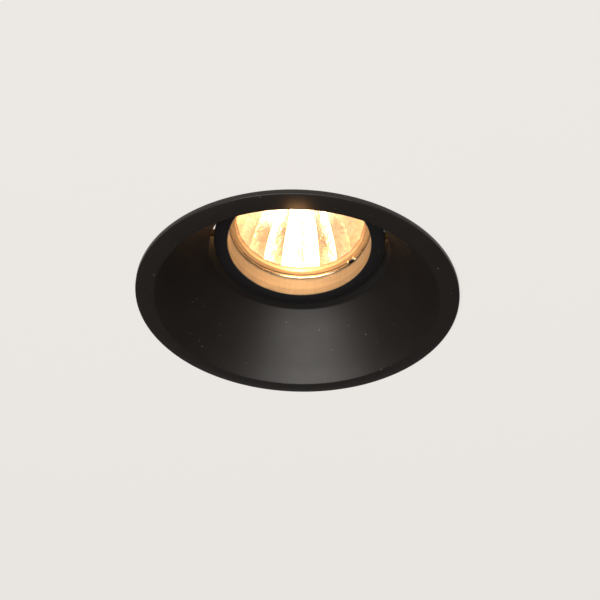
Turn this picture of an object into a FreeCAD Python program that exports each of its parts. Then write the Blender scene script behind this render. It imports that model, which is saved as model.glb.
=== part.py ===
import FreeCAD, Part
import Sketcher
import math
import os

from FreeCAD import Placement, Rotation, Vector

# A recessed, tilting soffit downlight. Lengths in mm, angles in degrees.
# Origin: centre of the flange's back face, on the soffit. +Z goes up into the void, X is the tilt axis.
# Pieces of the tilting head are drawn about the tilt pivot, with z rising along the lamp to its pins.
# Pieces of a spring clip are drawn about the clip's own pin, with x running out along the strap.

sizes = [
    # cast trim
    ("flange_radius", 55.0, "visible flange, outer radius"),
    ("flange_edge", 1.9, "flange thickness at its outer edge"),
    ("flange_cover", 5.0, "how far the flange covers the soffit round the hole"),
    ("spigot_gap", 0.8, "room between the spigot and the hole"),
    ("spigot_height", 3.0, "spigot above the flange's back"),
    ("lip_inset", 6.4, "sloped underside of the flange, from its edge in to the lip"),
    ("lip_depth", 2.72, "lip below the soffit"),
    ("opening_height", 20.3, "small end of the cone above the soffit"),
    ("cone_wall", 1.6, "cone thickness, square to its face"),
    ("collar_wall", 2.0, "collar thickness"),
    ("collar_above_pivot", 6.0, "collar top above the tilt axis"),
    ("edge_break", 0.4, "broken edges of the flange and the lip"),
    ("rib_count", 6, "stiffening ribs behind the cone"),
    ("rib_start_angle", 30.0, "angle of the first rib"),
    ("rib_thickness", 1.8, "rib thickness"),
    ("rib_height", 2.0, "rib height over the cone and collar"),
    ("rib_top_drop", 5.0, "rib top below the collar top"),
    ("wall_bite", 0.3, "how deep a lug or rib reaches into its wall"),
    ("cut_over", 2.0, "how far a cut runs past the piece"),
    # tilt pivot
    ("pivot_height", 29.6, "tilt axis above the soffit"),
    ("tilt_angle", 6.08, "photographed tilt of the lamp towards the near side"),
    ("boss_radius", 4.6, "cast boss round each pivot screw"),
    ("boss_reach", 1.9, "boss face outside the collar"),
    ("screw_radius", 1.5, "pivot screw shank"),
    ("screw_play", 0.05, "radial running clearance of the pivot screw"),
    ("screw_engagement", 2.9, "pivot screw inside the ring"),
    ("screw_head_radius", 2.9, "pivot screw head"),
    ("screw_head_height", 2.0, "pivot screw head height"),
    ("socket_radius", 1.15, "hexagon recess of the screw head, across corners"),
    ("socket_depth", 1.1, "hexagon recess depth"),
    ("washer_radius", 3.6, "friction washer"),
    ("washer_thickness", 0.8, "friction washer thickness"),
    ("washer_gap", 0.06, "gap on each side of the friction washer"),
    # tilting ring
    ("lamp_play", 0.4, "room round the lamp's rim in the ring's bore"),
    ("ring_land", 4.9, "width of the ring's face"),
    ("opening_gap", 1.8, "gap between the tilting ring and the trim"),
    ("ring_face", 5.7, "face of the ring below the tilt axis"),
    ("ring_brim", 2.0, "thickness of the ring's brim"),
    ("ring_step", 1.0, "ring behind its brim, inside the brim"),
    ("ring_ledge", 1.3, "how far the lip that the lamp rests on reaches in"),
    ("ring_lip", 2.1, "thickness of that lip"),
    ("circlip_height", 3.58, "circlip wire above the tilt axis"),
    ("circlip_wire", 1.5, "circlip wire diameter"),
    ("circlip_bite", 0.25, "wire centre outside the bore"),
    ("circlip_play", 0.1, "room between the wire and its groove"),
    ("circlip_split_angle", 11.0, "angle between the circlip's ends"),
    ("circlip_side_angle", 41.0, "where the split is, from +X"),
    ("circlip_tail", 2.2, "length of the circlip's inward ends"),
    ("wire_sides", 8, "flats round a bent wire, drawn in place of its round section"),
    # lamp
    ("lamp_gap", 0.07, "lamp rim behind the circlip"),
    ("lamp_rim_radius", 25.0, "lamp rim"),
    ("lamp_rim_height", 2.4, "lamp rim height"),
    ("lip_gap", 0.1, "lamp rim in front of the ring's lip"),
    ("bowl_inset", 1.2, "glass bowl inside the lamp's rim, at the front"),
    ("neck_radius", 12.4, "glass neck, outer radius"),
    ("bowl_depth", 29.0, "bowl depth from the lamp's front"),
    ("bowl_wall", 1.8, "bowl glass thickness"),
    ("bowl_facets", 20, "facets round the bowl"),
    ("bowl_rows", 5, "facet rows from mouth to neck"),
    ("bowl_bands", 3, "short cones that follow the bowl's outer curve"),
    ("bowl_floor", 26.0, "depth of the faceted hollow"),
    ("neck_length", 4.0, "straight glass neck behind the bowl"),
    ("neck_bore", 5.4, "hole in the neck for the burner"),
    ("glass_margin", 1.7, "lamp rim round the front glass"),
    ("glass_thickness", 1.5, "front glass thickness"),
    ("glass_inset", 0.25, "front glass behind the rim's front"),
    ("glass_play", 0.1, "room round the front glass"),
    ("capsule_radius", 4.6, "quartz capsule"),
    ("capsule_tip", 9.0, "capsule's tip behind the lamp's front"),
    ("capsule_dome", 1.8, "slope of the capsule's tip"),
    ("capsule_end", 25.0, "capsule's closed end behind the lamp's front"),
    ("capsule_wall", 0.8, "quartz thickness"),
    ("pinch_width", 8.0, "flat seal behind the capsule"),
    ("pinch_thickness", 2.8, "flat seal thickness"),
    ("pinch_length", 10.5, "flat seal length"),
    ("filament_radius", 0.9, "outside of the filament coil"),
    ("filament_length", 7.0, "filament coil length"),
    ("filament_leg", 0.5, "thickness of the filament's legs"),
    ("cap_wall", 1.3, "ceramic cap's wall round the glass neck"),
    ("cap_taper", 1.5, "how much narrower the cap is at the pins"),
    ("cap_grip", 3.0, "how far the cap covers the glass neck"),
    ("cap_play", 0.1, "cement gap between neck and cap"),
    ("cap_shoulder", 6.0, "straight part of the cap"),
    ("cap_length", 16.5, "ceramic cap length"),
    ("cap_flat", 8.5, "flats of the cap from the lamp's axis"),
    ("cap_flat_length", 8.5, "length of the cap's flats"),
    # pins and lampholder
    ("pin_circle", 5.0, "pins from the lamp's axis"),
    ("pin_radius", 1.6, "pin shank"),
    ("pin_root", 4.0, "pin inside the cap"),
    ("pin_shank", 3.9, "pin shank outside the cap"),
    ("pin_head_radius", 2.45, "pin head"),
    ("pin_head_height", 2.4, "pin head height"),
    ("fit_gap", 0.05, "small clearance of pressed and threaded pieces"),
    ("holder_gap", 0.4, "lampholder behind the cap"),
    ("holder_end_radius", 10.0, "rounded ends of the lampholder"),
    ("holder_half_length", 17.5, "lampholder, half its length"),
    ("holder_height", 10.5, "lampholder height without its cover"),
    ("holder_front", 3.0, "front wall of the lampholder"),
    ("holder_turn_angle", 30.0, "twist from locked to free"),
    ("slot_play", 0.25, "room round the pins in their slots"),
    ("chamber_inner", 2.0, "inner wall of the contact chamber, radius"),
    ("chamber_outer", 8.7, "outer wall of the contact chamber, radius"),
    ("chamber_margin_angle", 34.0, "chamber beyond the pin, in degrees"),
    ("contact_gap", 0.3, "contact strip from the pin head"),
    ("contact_sheet", 0.5, "contact strip thickness"),
    ("contact_span_angle", 26.0, "contact strip each side of its middle, in degrees"),
    ("contact_height", 6.2, "contact strip height"),
    ("cover_thickness", 1.6, "lampholder back cover"),
    ("cover_gap", 0.02, "seam between lampholder and cover"),
    ("lead_radius", 1.7, "lead entry in the cover"),
    ("lead_circle", 5.4, "lead entries from the lamp's axis"),
    ("holder_screw_at", 14.0, "cover screws from the lamp's axis"),
    ("holder_screw_radius", 1.25, "cover screw shank"),
    ("holder_screw_depth", 7.0, "cover screw in the lampholder"),
    ("holder_screw_head", 2.4, "cover screw head radius"),
    ("holder_screw_rise", 1.3, "cover screw head height"),
    # spring clips
    ("clip_pin_reach", 4.6158, "clip pin outside the cone"),
    ("clip_pin_z", 14.0, "clip pin above the soffit"),
    ("clip_pin_radius", 1.5, "clip pin"),
    ("clip_pin_play", 0.06, "radial running clearance of the clip pin"),
    ("clip_pin_head", 2.4, "clip pin head radius"),
    ("clip_pin_head_height", 0.9, "clip pin head height"),
    ("clip_pin_groove", 1.1, "bottom of the pin's groove, radius"),
    ("clip_pin_end", 0.7, "pin beyond its retaining ring"),
    ("keeper_radius", 2.8, "retaining ring"),
    ("keeper_thickness", 0.5, "retaining ring thickness"),
    ("keeper_span_angle", 290.0, "angle that the retaining ring covers"),
    ("lug_inner", 6.9, "inner face of each cast lug from the clip's middle"),
    ("lug_thickness", 2.1, "cast lug thickness"),
    ("lug_radius", 3.5, "cast lug round its pin"),
    ("lug_foot", 2.0, "bottom of the lug above the soffit"),
    ("arm_slope_angle", 9.0, "strap drop from the pin to its toe, in degrees"),
    ("arm_sheet", 1.0, "clip arm sheet"),
    ("arm_gap", 0.45, "arm cheek inside the lug"),
    ("arm_eye", 2.7, "arm cheek round the pin"),
    ("arm_heel", 0.2, "strap behind the pin"),
    ("arm_cheek", 13.0, "length of the arm's cheeks"),
    ("arm_reach", 34.0, "strap from the pin to its toe"),
    ("arm_bead_width", 3.0, "pressed bead along the strap"),
    ("arm_bead_height", 0.6, "pressed bead height"),
    ("arm_bead_start", 18.5, "bead from the pin"),
    ("sleeve_length", 13.0, "soft sleeve on the toe"),
    ("sleeve_wall", 1.2, "soft sleeve wall"),
    ("sleeve_gap", 0.05, "sleeve on the strap"),
    ("sleeve_sole", 1.0, "crown of the sleeve's underside"),
    # torsion springs
    ("wire", 1.2, "spring wire diameter"),
    ("coil_radius", 2.8, "coil, to the middle of the wire"),
    ("coil_pitch", 1.8, "coil pitch"),
    ("coil_turns", 2, "whole turns of the coil"),
    ("spring_seat", 0.3, "spring leg from what it bears on"),
    ("spring_leg", 15.0, "leg on the strap"),
    ("spring_foot", 9.5, "leg on the cone"),
]

same_place = 1e-3  # edges nearer than this in radius and height are the same
path_points = 12  # points on each arc when a spring's gap is measured

doc = FreeCAD.newDocument("soffit_downlight")
dims = doc.addObject("Spreadsheet::Sheet", "dims")
for row, (alias, value, note) in enumerate(sizes, start=1):
    dims.set(f"A{row}", note)
    dims.set(f"B{row}", str(value))
    dims.setAlias(f"B{row}", alias)
doc.recompute()


def number(expression):
    """The value of an expression on the sheet."""
    return float(dims.evalExpression(str(expression)))


def size(alias):
    return number(f"dims.{alias}")


# formulas that several pieces share
ring_bore = "(dims.lamp_rim_radius + dims.lamp_play)"
ring_radius = f"({ring_bore} + dims.ring_land)"
ring_hub = f"({ring_radius} - dims.ring_step)"
ring_lip_bore = f"({ring_bore} - dims.ring_ledge)"
opening_radius = f"({ring_radius} + dims.opening_gap)"
bowl_mouth = "(dims.lamp_rim_radius - dims.bowl_inset)"
glass_radius = "(dims.lamp_rim_radius - dims.glass_margin)"
lip_radius = "(dims.flange_radius - dims.lip_inset)"
cone_slope = f"(({lip_radius} - {opening_radius}) / (dims.opening_height + dims.lip_depth))"
cone_lean = f"atan({cone_slope})"
cone_skin = f"(dims.cone_wall / cos({cone_lean}))"
spigot_radius = "(dims.flange_radius - dims.flange_cover - dims.spigot_gap)"
collar_radius = f"({opening_radius} + dims.collar_wall)"
collar_top = "(dims.pivot_height + dims.collar_above_pivot)"
boss_face = f"({collar_radius} + dims.boss_reach)"
lamp_front = "(dims.circlip_height + dims.circlip_wire / 2 + dims.lamp_gap)"
lip_front = f"({lamp_front} + dims.lamp_rim_height + dims.lip_gap)"
ring_back = f"({lip_front} + dims.ring_lip)"
cap_start = f"({lamp_front} + dims.bowl_depth + dims.neck_length - dims.cap_grip)"
cap_end = f"({cap_start} + dims.cap_length)"
head_front = f"({cap_end} + dims.pin_shank)"
holder_front = f"({cap_end} + dims.holder_gap)"
holder_back = f"({holder_front} + dims.holder_height)"
screw_hole = "dims.holder_screw_radius + dims.fit_gap"
cover_front = f"({holder_back} + dims.cover_gap)"
cover_back = f"({cover_front} + dims.cover_thickness)"
lug_outer = "(dims.lug_inner + dims.lug_thickness)"
cheek_outer = "(dims.lug_inner - dims.arm_gap)"
cheek_inner = f"({cheek_outer} - dims.arm_sheet)"
strap_top = "(0 - dims.coil_radius - dims.wire / 2 - dims.spring_seat)"
strap_bottom = f"({strap_top} - dims.arm_sheet)"


def cone_inside(height):
    """Radius of the cone's inner face at a height above the soffit."""
    return f"({lip_radius} - ({height} + dims.lip_depth) * {cone_slope})"


def cone_outside(height):
    return f"({cone_inside(height)} + {cone_skin})"


def cone_outside_height(radius):
    """Height at which the cone's outer face has this radius."""
    return f"(({lip_radius} + {cone_skin} - {radius}) / {cone_slope} - dims.lip_depth)"


clip_pin_x = f"({cone_outside('dims.clip_pin_z')} + dims.clip_pin_reach)"


def bowl_outside(depth):
    """Radius of the lamp's glass bowl at a depth behind the lamp's front."""
    return f"({bowl_mouth} - ({bowl_mouth} - dims.neck_radius) * (({depth}) / dims.bowl_depth) ^ 2)"


def body(label):
    made = doc.addObject("PartDesign::Body", label)
    made.Label = label
    return made


def origin_feature(owner, role):
    return next(feature for feature in owner.Origin.OriginFeatures if feature.Role == role)


def sketch_on(owner, role, shift="0", turn=None):
    """An empty sketch on a plane of its own body, moved along the plane's normal."""
    sketch = owner.newObject("Sketcher::SketchObject", f"{owner.Name}_sketch")
    sketch.AttachmentSupport = [(origin_feature(owner, role), "")]
    sketch.MapMode = "FlatFace"
    sketch.AttachmentOffset = Placement(Vector(0, 0, 0), Rotation(Vector(0, 1, 0), number(turn or "0")))
    sketch.setExpression("AttachmentOffset.Base.z", shift)
    return sketch


def hold(sketch, kind, expression, *places):
    """Adds a dimension and binds it to the sheet."""
    added = sketch.addConstraint(Sketcher.Constraint(kind, *places, number(expression)))
    sketch.setExpression(f"Constraints[{added}]", expression)


def arc_between(start, end, radius, side):
    """The shorter arc from start to end, with its centre on the left (side 1) or the right (side -1)."""
    along = end - start
    middle = (start + end) * 0.5
    left = Vector(-along.y, along.x, 0).normalize()
    rise = math.sqrt(max(radius**2 - along.Length**2 / 4, 0))
    centre = middle + left * (side * rise)
    first, last = (start, end) if side > 0 else (end, start)
    angles = [math.atan2(spot.y - centre.y, spot.x - centre.x) for spot in (first, last)]
    return Part.ArcOfCircle(Part.Circle(centre, Vector(0, 0, 1), radius), *angles)


def outline(sketch, corners, arcs=None):
    """A closed outline through corners. arcs gives an edge's radius and the side of its centre."""
    arcs = arcs or {}
    spots = [Vector(number(x), number(y), 0) for x, y in corners]
    first_edge = sketch.GeometryCount
    ends = []
    for index, spot in enumerate(spots):
        following = spots[(index + 1) % len(spots)]
        if index in arcs:
            radius, side = arcs[index]
            edge = sketch.addGeometry(arc_between(spot, following, number(radius), side), False)
            ends.append((edge, 1, 2) if side > 0 else (edge, 2, 1))
        else:
            edge = sketch.addGeometry(Part.LineSegment(spot, following), False)
            ends.append((edge, 1, 2))
    for index, (edge, start, end) in enumerate(ends):
        next_edge, next_start, _ = ends[(index + 1) % len(ends)]
        sketch.addConstraint(Sketcher.Constraint("Coincident", edge, end, next_edge, next_start))
    for (x, y), (edge, start, end) in zip(corners, ends):
        hold(sketch, "DistanceX", x, -1, 1, edge, start)
        hold(sketch, "DistanceY", y, -1, 1, edge, start)
    for index, (radius, side) in arcs.items():
        hold(sketch, "Radius", radius, first_edge + index)
    return sketch


def rectangle(sketch, left, bottom, right, top):
    return outline(sketch, [(left, bottom), (right, bottom), (right, top), (left, top)])


def disc(sketch, x, y, radius):
    spot = Vector(number(x), number(y), 0)
    edge = sketch.addGeometry(Part.Circle(spot, Vector(0, 0, 1), number(radius)), False)
    hold(sketch, "DistanceX", x, -1, 1, edge, 3)
    hold(sketch, "DistanceY", y, -1, 1, edge, 3)
    hold(sketch, "Radius", radius, edge)
    return sketch


def sector(sketch, inner, outer, start, end):
    """A piece of a ring about the sketch's origin, from start to end degrees."""
    corners = [
        (f"{inner} * cos({start})", f"{inner} * sin({start})"),
        (f"{outer} * cos({start})", f"{outer} * sin({start})"),
        (f"{outer} * cos({end})", f"{outer} * sin({end})"),
        (f"{inner} * cos({end})", f"{inner} * sin({end})"),
    ]
    return outline(sketch, corners, {1: (outer, 1), 3: (inner, -1)})


def spin(owner, sketch, angle="360"):
    """Turns a profile about the sketch's upright axis."""
    feature = owner.newObject("PartDesign::Revolution", f"{owner.Name}_turned")
    feature.Profile = sketch
    feature.ReferenceAxis = (sketch, ["V_Axis"])
    feature.setExpression("Angle", angle)
    doc.recompute()
    return feature


def pad(owner, sketch, length, both_ways=False, backwards=False):
    feature = owner.newObject("PartDesign::Pad", f"{owner.Name}_pad")
    feature.Profile = sketch
    feature.setExpression("Length", length)
    feature.SideType = "Symmetric" if both_ways else "One side"
    feature.Reversed = backwards
    doc.recompute()
    return feature


def pocket(owner, sketch, depth, both_ways=False, backwards=False):
    """Cuts a profile away, and stops if the cut removes nothing."""
    before = owner.Shape.Volume
    feature = owner.newObject("PartDesign::Pocket", f"{owner.Name}_pocket")
    feature.Profile = sketch
    feature.setExpression("Length", depth)
    feature.SideType = "Symmetric" if both_ways else "One side"
    feature.Reversed = backwards
    doc.recompute()
    if owner.Shape.Volume > before - same_place:
        raise ValueError(f"{feature.Name} removes nothing")
    return feature


def around(owner, features, count):
    """Repeats features evenly about the body's Z axis."""
    pattern = owner.newObject("PartDesign::PolarPattern", f"{owner.Name}_pattern")
    pattern.Originals = features
    pattern.Axis = (origin_feature(owner, "Z_Axis"), [""])
    pattern.Angle = 360
    pattern.setExpression("Occurrences", count)
    owner.Tip = pattern
    doc.recompute()
    return pattern


def break_edges(owner, base, width, wanted):
    """Chamfers the edges of the base feature that the wanted test picks."""
    picked = [f"Edge{n}" for n, edge in enumerate(base.Shape.Edges, start=1) if wanted(edge)]
    feature = owner.newObject("PartDesign::Chamfer", f"{owner.Name}_edges")
    feature.Base = (base, picked)
    feature.setExpression("Size", width)
    owner.Tip = feature
    doc.recompute()
    return feature


def turned(label, corners, arcs=None, angle="360"):
    """A body turned about Z from corners given as (radius, height)."""
    made = body(label)
    spin(made, outline(sketch_on(made, "XZ_Plane"), corners, arcs), angle)
    return made


def joined(kind, label, pieces):
    made = doc.addObject(kind, label)
    if kind == "Part::Cut":
        made.Base, made.Tool = pieces
    elif kind == "Part::Compound":
        made.Links = pieces
    else:
        made.Shapes = pieces
    made.Label = label
    return made


def flipped(source, normal):
    """A mirrored copy through the origin."""
    made = doc.addObject("Part::Mirroring", f"{source.Name}_other")
    made.Source = source
    made.Normal = normal
    return made


def pair(label, single, normal):
    """Two like pieces in one node: the single one and its mirror image."""
    return joined("Part::Compound", label, [single, flipped(single, normal)])


def ring_at(radius, height, edge):
    """True for a full round edge about Z with this radius and height."""
    curve = edge.Curve
    if not isinstance(curve, Part.Circle):
        return False
    same_radius = abs(curve.Radius - number(radius)) < same_place
    return same_radius and abs(edge.CenterOfMass.z - number(height)) < same_place


# cast trim


def baffle_trim():
    """Flange, deep anti-glare cone and collar in one casting, with clip lugs and pivot bosses behind."""
    trim = body("baffle_trim")
    bend = cone_outside_height(collar_radius)
    shell = [
        ("dims.flange_radius", "0"),
        (spigot_radius, "0"),
        (spigot_radius, "dims.spigot_height"),
        (cone_outside("dims.spigot_height"), "dims.spigot_height"),
        (collar_radius, bend),
        (collar_radius, collar_top),
        (opening_radius, collar_top),
        (opening_radius, "dims.opening_height"),
        (lip_radius, "0 - dims.lip_depth"),
        ("dims.flange_radius", "0 - dims.flange_edge"),
    ]
    spin(trim, outline(sketch_on(trim, "XZ_Plane"), shell))

    lug_top = "(dims.clip_pin_z + dims.lug_radius)"
    lug_side = f"({clip_pin_x} + dims.lug_radius)"
    lug = [
        (lug_side, "dims.lug_foot"),
        (lug_side, "dims.clip_pin_z"),
        (clip_pin_x, lug_top),
        (f"{cone_inside(lug_top)} + dims.wall_bite", lug_top),
        (f"{cone_inside('dims.lug_foot')} + dims.wall_bite", "dims.lug_foot"),
    ]
    lugs = []
    for shift, backwards in (("dims.lug_inner", False), ("0 - dims.lug_inner", True)):
        sketch = outline(sketch_on(trim, "XZ_Plane", shift), lug, {1: ("dims.lug_radius", 1)})
        lugs.append(pad(trim, sketch, "dims.lug_thickness", backwards=backwards))
    eye = sketch_on(trim, "XZ_Plane")
    disc(eye, clip_pin_x, "dims.clip_pin_z", "dims.clip_pin_radius + dims.fit_gap")
    eyes = pocket(trim, eye, f"2 * {lug_outer} + dims.cut_over", both_ways=True)

    boss_root = f"({opening_radius} + dims.collar_wall / 2)"
    boss = disc(sketch_on(trim, "YZ_Plane", boss_root), "0", "dims.pivot_height", "dims.boss_radius")
    bosses = pad(trim, boss, f"{boss_face} - {boss_root}")
    hole = sketch_on(trim, "YZ_Plane", boss_face)
    disc(hole, "0", "dims.pivot_height", "dims.screw_radius + dims.screw_play")
    holes = pocket(trim, hole, "dims.boss_reach + dims.collar_wall * 2")
    around(trim, [*lugs, eyes, bosses, holes], "2")

    rib_top = f"({collar_top} - dims.rib_top_drop)"
    rib_edge = f"({collar_radius} + dims.rib_height)"
    rib = [
        (f"{cone_inside('dims.lug_foot')} + dims.wall_bite * 2", "dims.lug_foot"),
        (f"{cone_outside('dims.spigot_height')} + dims.rib_height", "dims.lug_foot"),
        (f"{cone_outside('dims.spigot_height')} + dims.rib_height", "dims.spigot_height"),
        (rib_edge, bend),
        (rib_edge, f"{rib_top} - dims.rib_height"),
        (f"{collar_radius} - dims.wall_bite * 3", rib_top),
        (f"{collar_radius} - dims.wall_bite * 3", bend),
    ]
    rib_sketch = outline(sketch_on(trim, "XZ_Plane", turn="dims.rib_start_angle"), rib)
    first_rib = pad(trim, rib_sketch, "dims.rib_thickness", both_ways=True)
    ribbed = around(trim, [first_rib], "dims.rib_count")

    def broken(edge):
        lip = ring_at(lip_radius, "0 - dims.lip_depth", edge)
        return lip or ring_at("dims.flange_radius", "0 - dims.flange_edge", edge)

    break_edges(trim, ribbed, "dims.edge_break", broken)
    return trim


# tilting head, drawn about the tilt pivot


def gimbal_ring():
    """The tilting ring: brim, bore, circlip groove and the lip that the lamp rests on."""
    groove = f"({ring_bore} + dims.circlip_bite + dims.circlip_wire / 2 + dims.circlip_play)"
    groove_half = "(dims.circlip_wire / 2 + dims.circlip_play)"
    profile = [
        (ring_bore, "0 - dims.ring_face"),
        (ring_radius, "0 - dims.ring_face"),
        (ring_radius, "dims.ring_brim - dims.ring_face"),
        (ring_hub, "dims.ring_brim - dims.ring_face"),
        (ring_hub, ring_back),
        (ring_lip_bore, ring_back),
        (ring_lip_bore, lip_front),
        (ring_bore, lip_front),
        (ring_bore, f"dims.circlip_height + {groove_half}"),
        (groove, f"dims.circlip_height + {groove_half}"),
        (groove, f"dims.circlip_height - {groove_half}"),
        (ring_bore, f"dims.circlip_height - {groove_half}"),
    ]
    ring = turned("gimbal_ring", profile)
    hole = disc(sketch_on(ring, "YZ_Plane", ring_hub), "0", "0", "dims.screw_radius + dims.fit_gap")
    holes = pocket(ring, hole, "dims.screw_engagement + dims.fit_gap")
    around(ring, [holes], "2")
    return ring


def pivot_screws():
    """Two socket-head pivot screws: through the boss and into the ring."""
    start = f"({ring_hub} - dims.screw_engagement)"
    head = f"({boss_face} + dims.washer_thickness + 2 * dims.washer_gap)"
    profile = [
        ("0", start),
        ("dims.screw_radius", start),
        ("dims.screw_radius", head),
        ("dims.screw_head_radius", head),
        ("dims.screw_head_radius", f"{head} + dims.screw_head_height"),
        ("0", f"{head} + dims.screw_head_height"),
    ]
    screw = turned("pivot_screw", profile)
    key = sketch_on(screw, "XY_Plane", f"{head} + dims.screw_head_height")
    turns = [60 * n for n in range(6)]
    hexagon = [(f"dims.socket_radius * cos({turn})", f"dims.socket_radius * sin({turn})") for turn in turns]
    pocket(screw, outline(key, hexagon), "dims.socket_depth")
    screw.Placement = Placement(Vector(0, 0, 0), Rotation(Vector(0, 1, 0), 90))
    return pair("pivot_screws", screw, Vector(1, 0, 0))


def pivot_washers():
    """Two friction washers between the bosses and the screw heads."""
    start = f"({boss_face} + dims.washer_gap)"
    inner = "(dims.screw_radius + dims.fit_gap)"
    end = f"({start} + dims.washer_thickness)"
    profile = [(inner, start), ("dims.washer_radius", start), ("dims.washer_radius", end), (inner, end)]
    washer = turned("pivot_washer", profile)
    washer.Placement = Placement(Vector(0, 0, 0), Rotation(Vector(0, 1, 0), 90))
    return pair("pivot_washers", washer, Vector(1, 0, 0))


def wire_section(across, x="0", y="0"):
    """Corners of the many-sided section that stands for a round wire of this diameter."""
    sides = int(size("wire_sides"))
    corner = f"({across} / 2 / cos(180 / dims.wire_sides))"
    turns = [f"(360 / dims.wire_sides * ({n} + 0.5))" for n in range(sides)]
    return [(f"{x} + {corner} * cos({turn})", f"{y} + {corner} * sin({turn})") for turn in turns]


def lamp_circlip():
    """Split wire ring in the bore's groove, with two short ends bent inward."""
    radius = f"({ring_bore} + dims.circlip_bite)"
    clip = body("lamp_circlip")
    hoop = outline(sketch_on(clip, "XZ_Plane"), wire_section("dims.circlip_wire", radius))
    spin(clip, hoop, "360 - dims.circlip_split_angle")
    half = "dims.circlip_wire / 2"
    for turn, side in (("0", "1"), ("0 - dims.circlip_split_angle", "-1")):
        tail = sketch_on(clip, "XZ_Plane", turn=turn)
        corners = rectangle(tail, f"{radius} - dims.circlip_tail", f"0 - {half}", f"{radius} + {half}", half)
        pad(clip, corners, f"{half} * 1.2", backwards=side == "-1")
    clip.Placement = Placement(
        Vector(0, 0, size("circlip_height")),
        Rotation(Vector(0, 0, 1), number("dims.circlip_side_angle + dims.circlip_split_angle / 2")),
    )
    return clip


# reflector lamp


def lamp_reflector():
    """Pressed-glass bowl: smooth outside, flat facets inside, a seat for the front glass and a neck."""
    front = lamp_front
    rim_back = f"({front} + dims.lamp_rim_height)"
    neck_back = f"({front} + dims.bowl_depth + dims.neck_length)"
    profile = [("0", front), ("dims.lamp_rim_radius", front), ("dims.lamp_rim_radius", rim_back)]
    for band in range(int(size("bowl_bands")) + 1):
        step = f"(dims.bowl_depth - dims.lamp_rim_height) * {band} / dims.bowl_bands"
        depth = f"(dims.lamp_rim_height + {step})"
        profile.append((bowl_outside(depth), f"{front} + {depth}"))
    profile += [("dims.neck_radius", neck_back), ("0", neck_back)]
    outside = turned("reflector_outside", profile)
    seat_depth = "(dims.glass_inset + dims.glass_thickness + dims.glass_play)"
    seat = doc.addObject("Part::Cylinder", "glass_seat")
    seat.setExpression("Radius", f"{glass_radius} + dims.glass_play")
    seat.setExpression("Height", seat_depth)
    seat.setExpression("Placement.Base.z", front)
    neck = doc.addObject("Part::Cylinder", "neck_hole")
    neck.setExpression("Radius", "dims.neck_bore")
    neck.setExpression("Height", "dims.bowl_depth + dims.neck_length")
    neck.setExpression("Placement.Base.z", front)
    rings = []
    for row in range(int(size("bowl_rows")) + 1):
        depth = f"({seat_depth} + (dims.bowl_floor - {seat_depth}) * {row} / dims.bowl_rows)"
        ring = doc.addObject("Part::RegularPolygon", f"facet_ring_{row}")
        ring.setExpression("Polygon", "dims.bowl_facets")
        ring.setExpression("Circumradius", f"{bowl_outside(depth)} - dims.bowl_wall")
        ring.setExpression("Placement.Base.z", f"{front} + {depth}")
        rings.append(ring)
    facets = doc.addObject("Part::Loft", "facets")
    facets.Sections = rings
    facets.Solid = True
    facets.Ruled = True
    hollow = joined("Part::MultiFuse", "reflector_hollow", [seat, neck, facets])
    return joined("Part::Cut", "lamp_reflector", [outside, hollow])


def lamp_front_glass():
    start = f"({lamp_front} + dims.glass_inset)"
    end = f"({start} + dims.glass_thickness)"
    return turned("lamp_front_glass", [("0", start), (glass_radius, start), (glass_radius, end), ("0", end)])


def lamp_capsule():
    """Quartz burner: a hollow capsule with a rounded tip and a flat pinch seal behind."""
    tip = f"({lamp_front} + dims.capsule_tip)"
    end = f"({lamp_front} + dims.capsule_end)"
    inner = "(dims.capsule_radius - dims.capsule_wall)"
    profile = [
        ("0", tip),
        ("dims.capsule_radius - dims.capsule_dome", tip),
        ("dims.capsule_radius", f"{tip} + dims.capsule_dome"),
        ("dims.capsule_radius", end),
        ("0", end),
        ("0", f"{end} - dims.capsule_wall * 2"),
        (inner, f"{end} - dims.capsule_wall * 2"),
        (inner, f"{tip} + dims.capsule_dome"),
        ("0", f"{tip} + dims.capsule_dome"),
    ]
    capsule = turned("lamp_capsule", profile)
    seal = rectangle(
        sketch_on(capsule, "XY_Plane", end),
        "0 - dims.pinch_width / 2",
        "0 - dims.pinch_thickness / 2",
        "dims.pinch_width / 2",
        "dims.pinch_thickness / 2",
    )
    pad(capsule, seal, "dims.pinch_length")
    return capsule


def lamp_filament():
    """Filament in the middle of the capsule, on two legs that reach the seal."""
    back = f"({lamp_front} + dims.capsule_end - dims.capsule_wall * 2 - dims.fit_gap)"
    middle = f"({lamp_front} + (dims.capsule_tip + dims.capsule_end) / 2)"
    start = f"({middle} - dims.filament_length / 2)"
    profile = [
        ("0", start),
        ("dims.filament_radius", start),
        ("dims.filament_radius", f"{start} + dims.filament_length"),
        ("0", f"{start} + dims.filament_length"),
    ]
    filament = turned("lamp_filament", profile)
    for side in ("-1", "1"):
        near = f"({side} * (dims.filament_radius - dims.filament_leg) - dims.filament_leg / 2)"
        leg = rectangle(
            sketch_on(filament, "XY_Plane", f"{start} + dims.filament_length / 2"),
            near,
            "0 - dims.filament_leg / 2",
            f"{near} + dims.filament_leg",
            "dims.filament_leg / 2",
        )
        pad(filament, leg, f"{back} - {start} - dims.filament_length / 2")
    return filament


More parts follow.
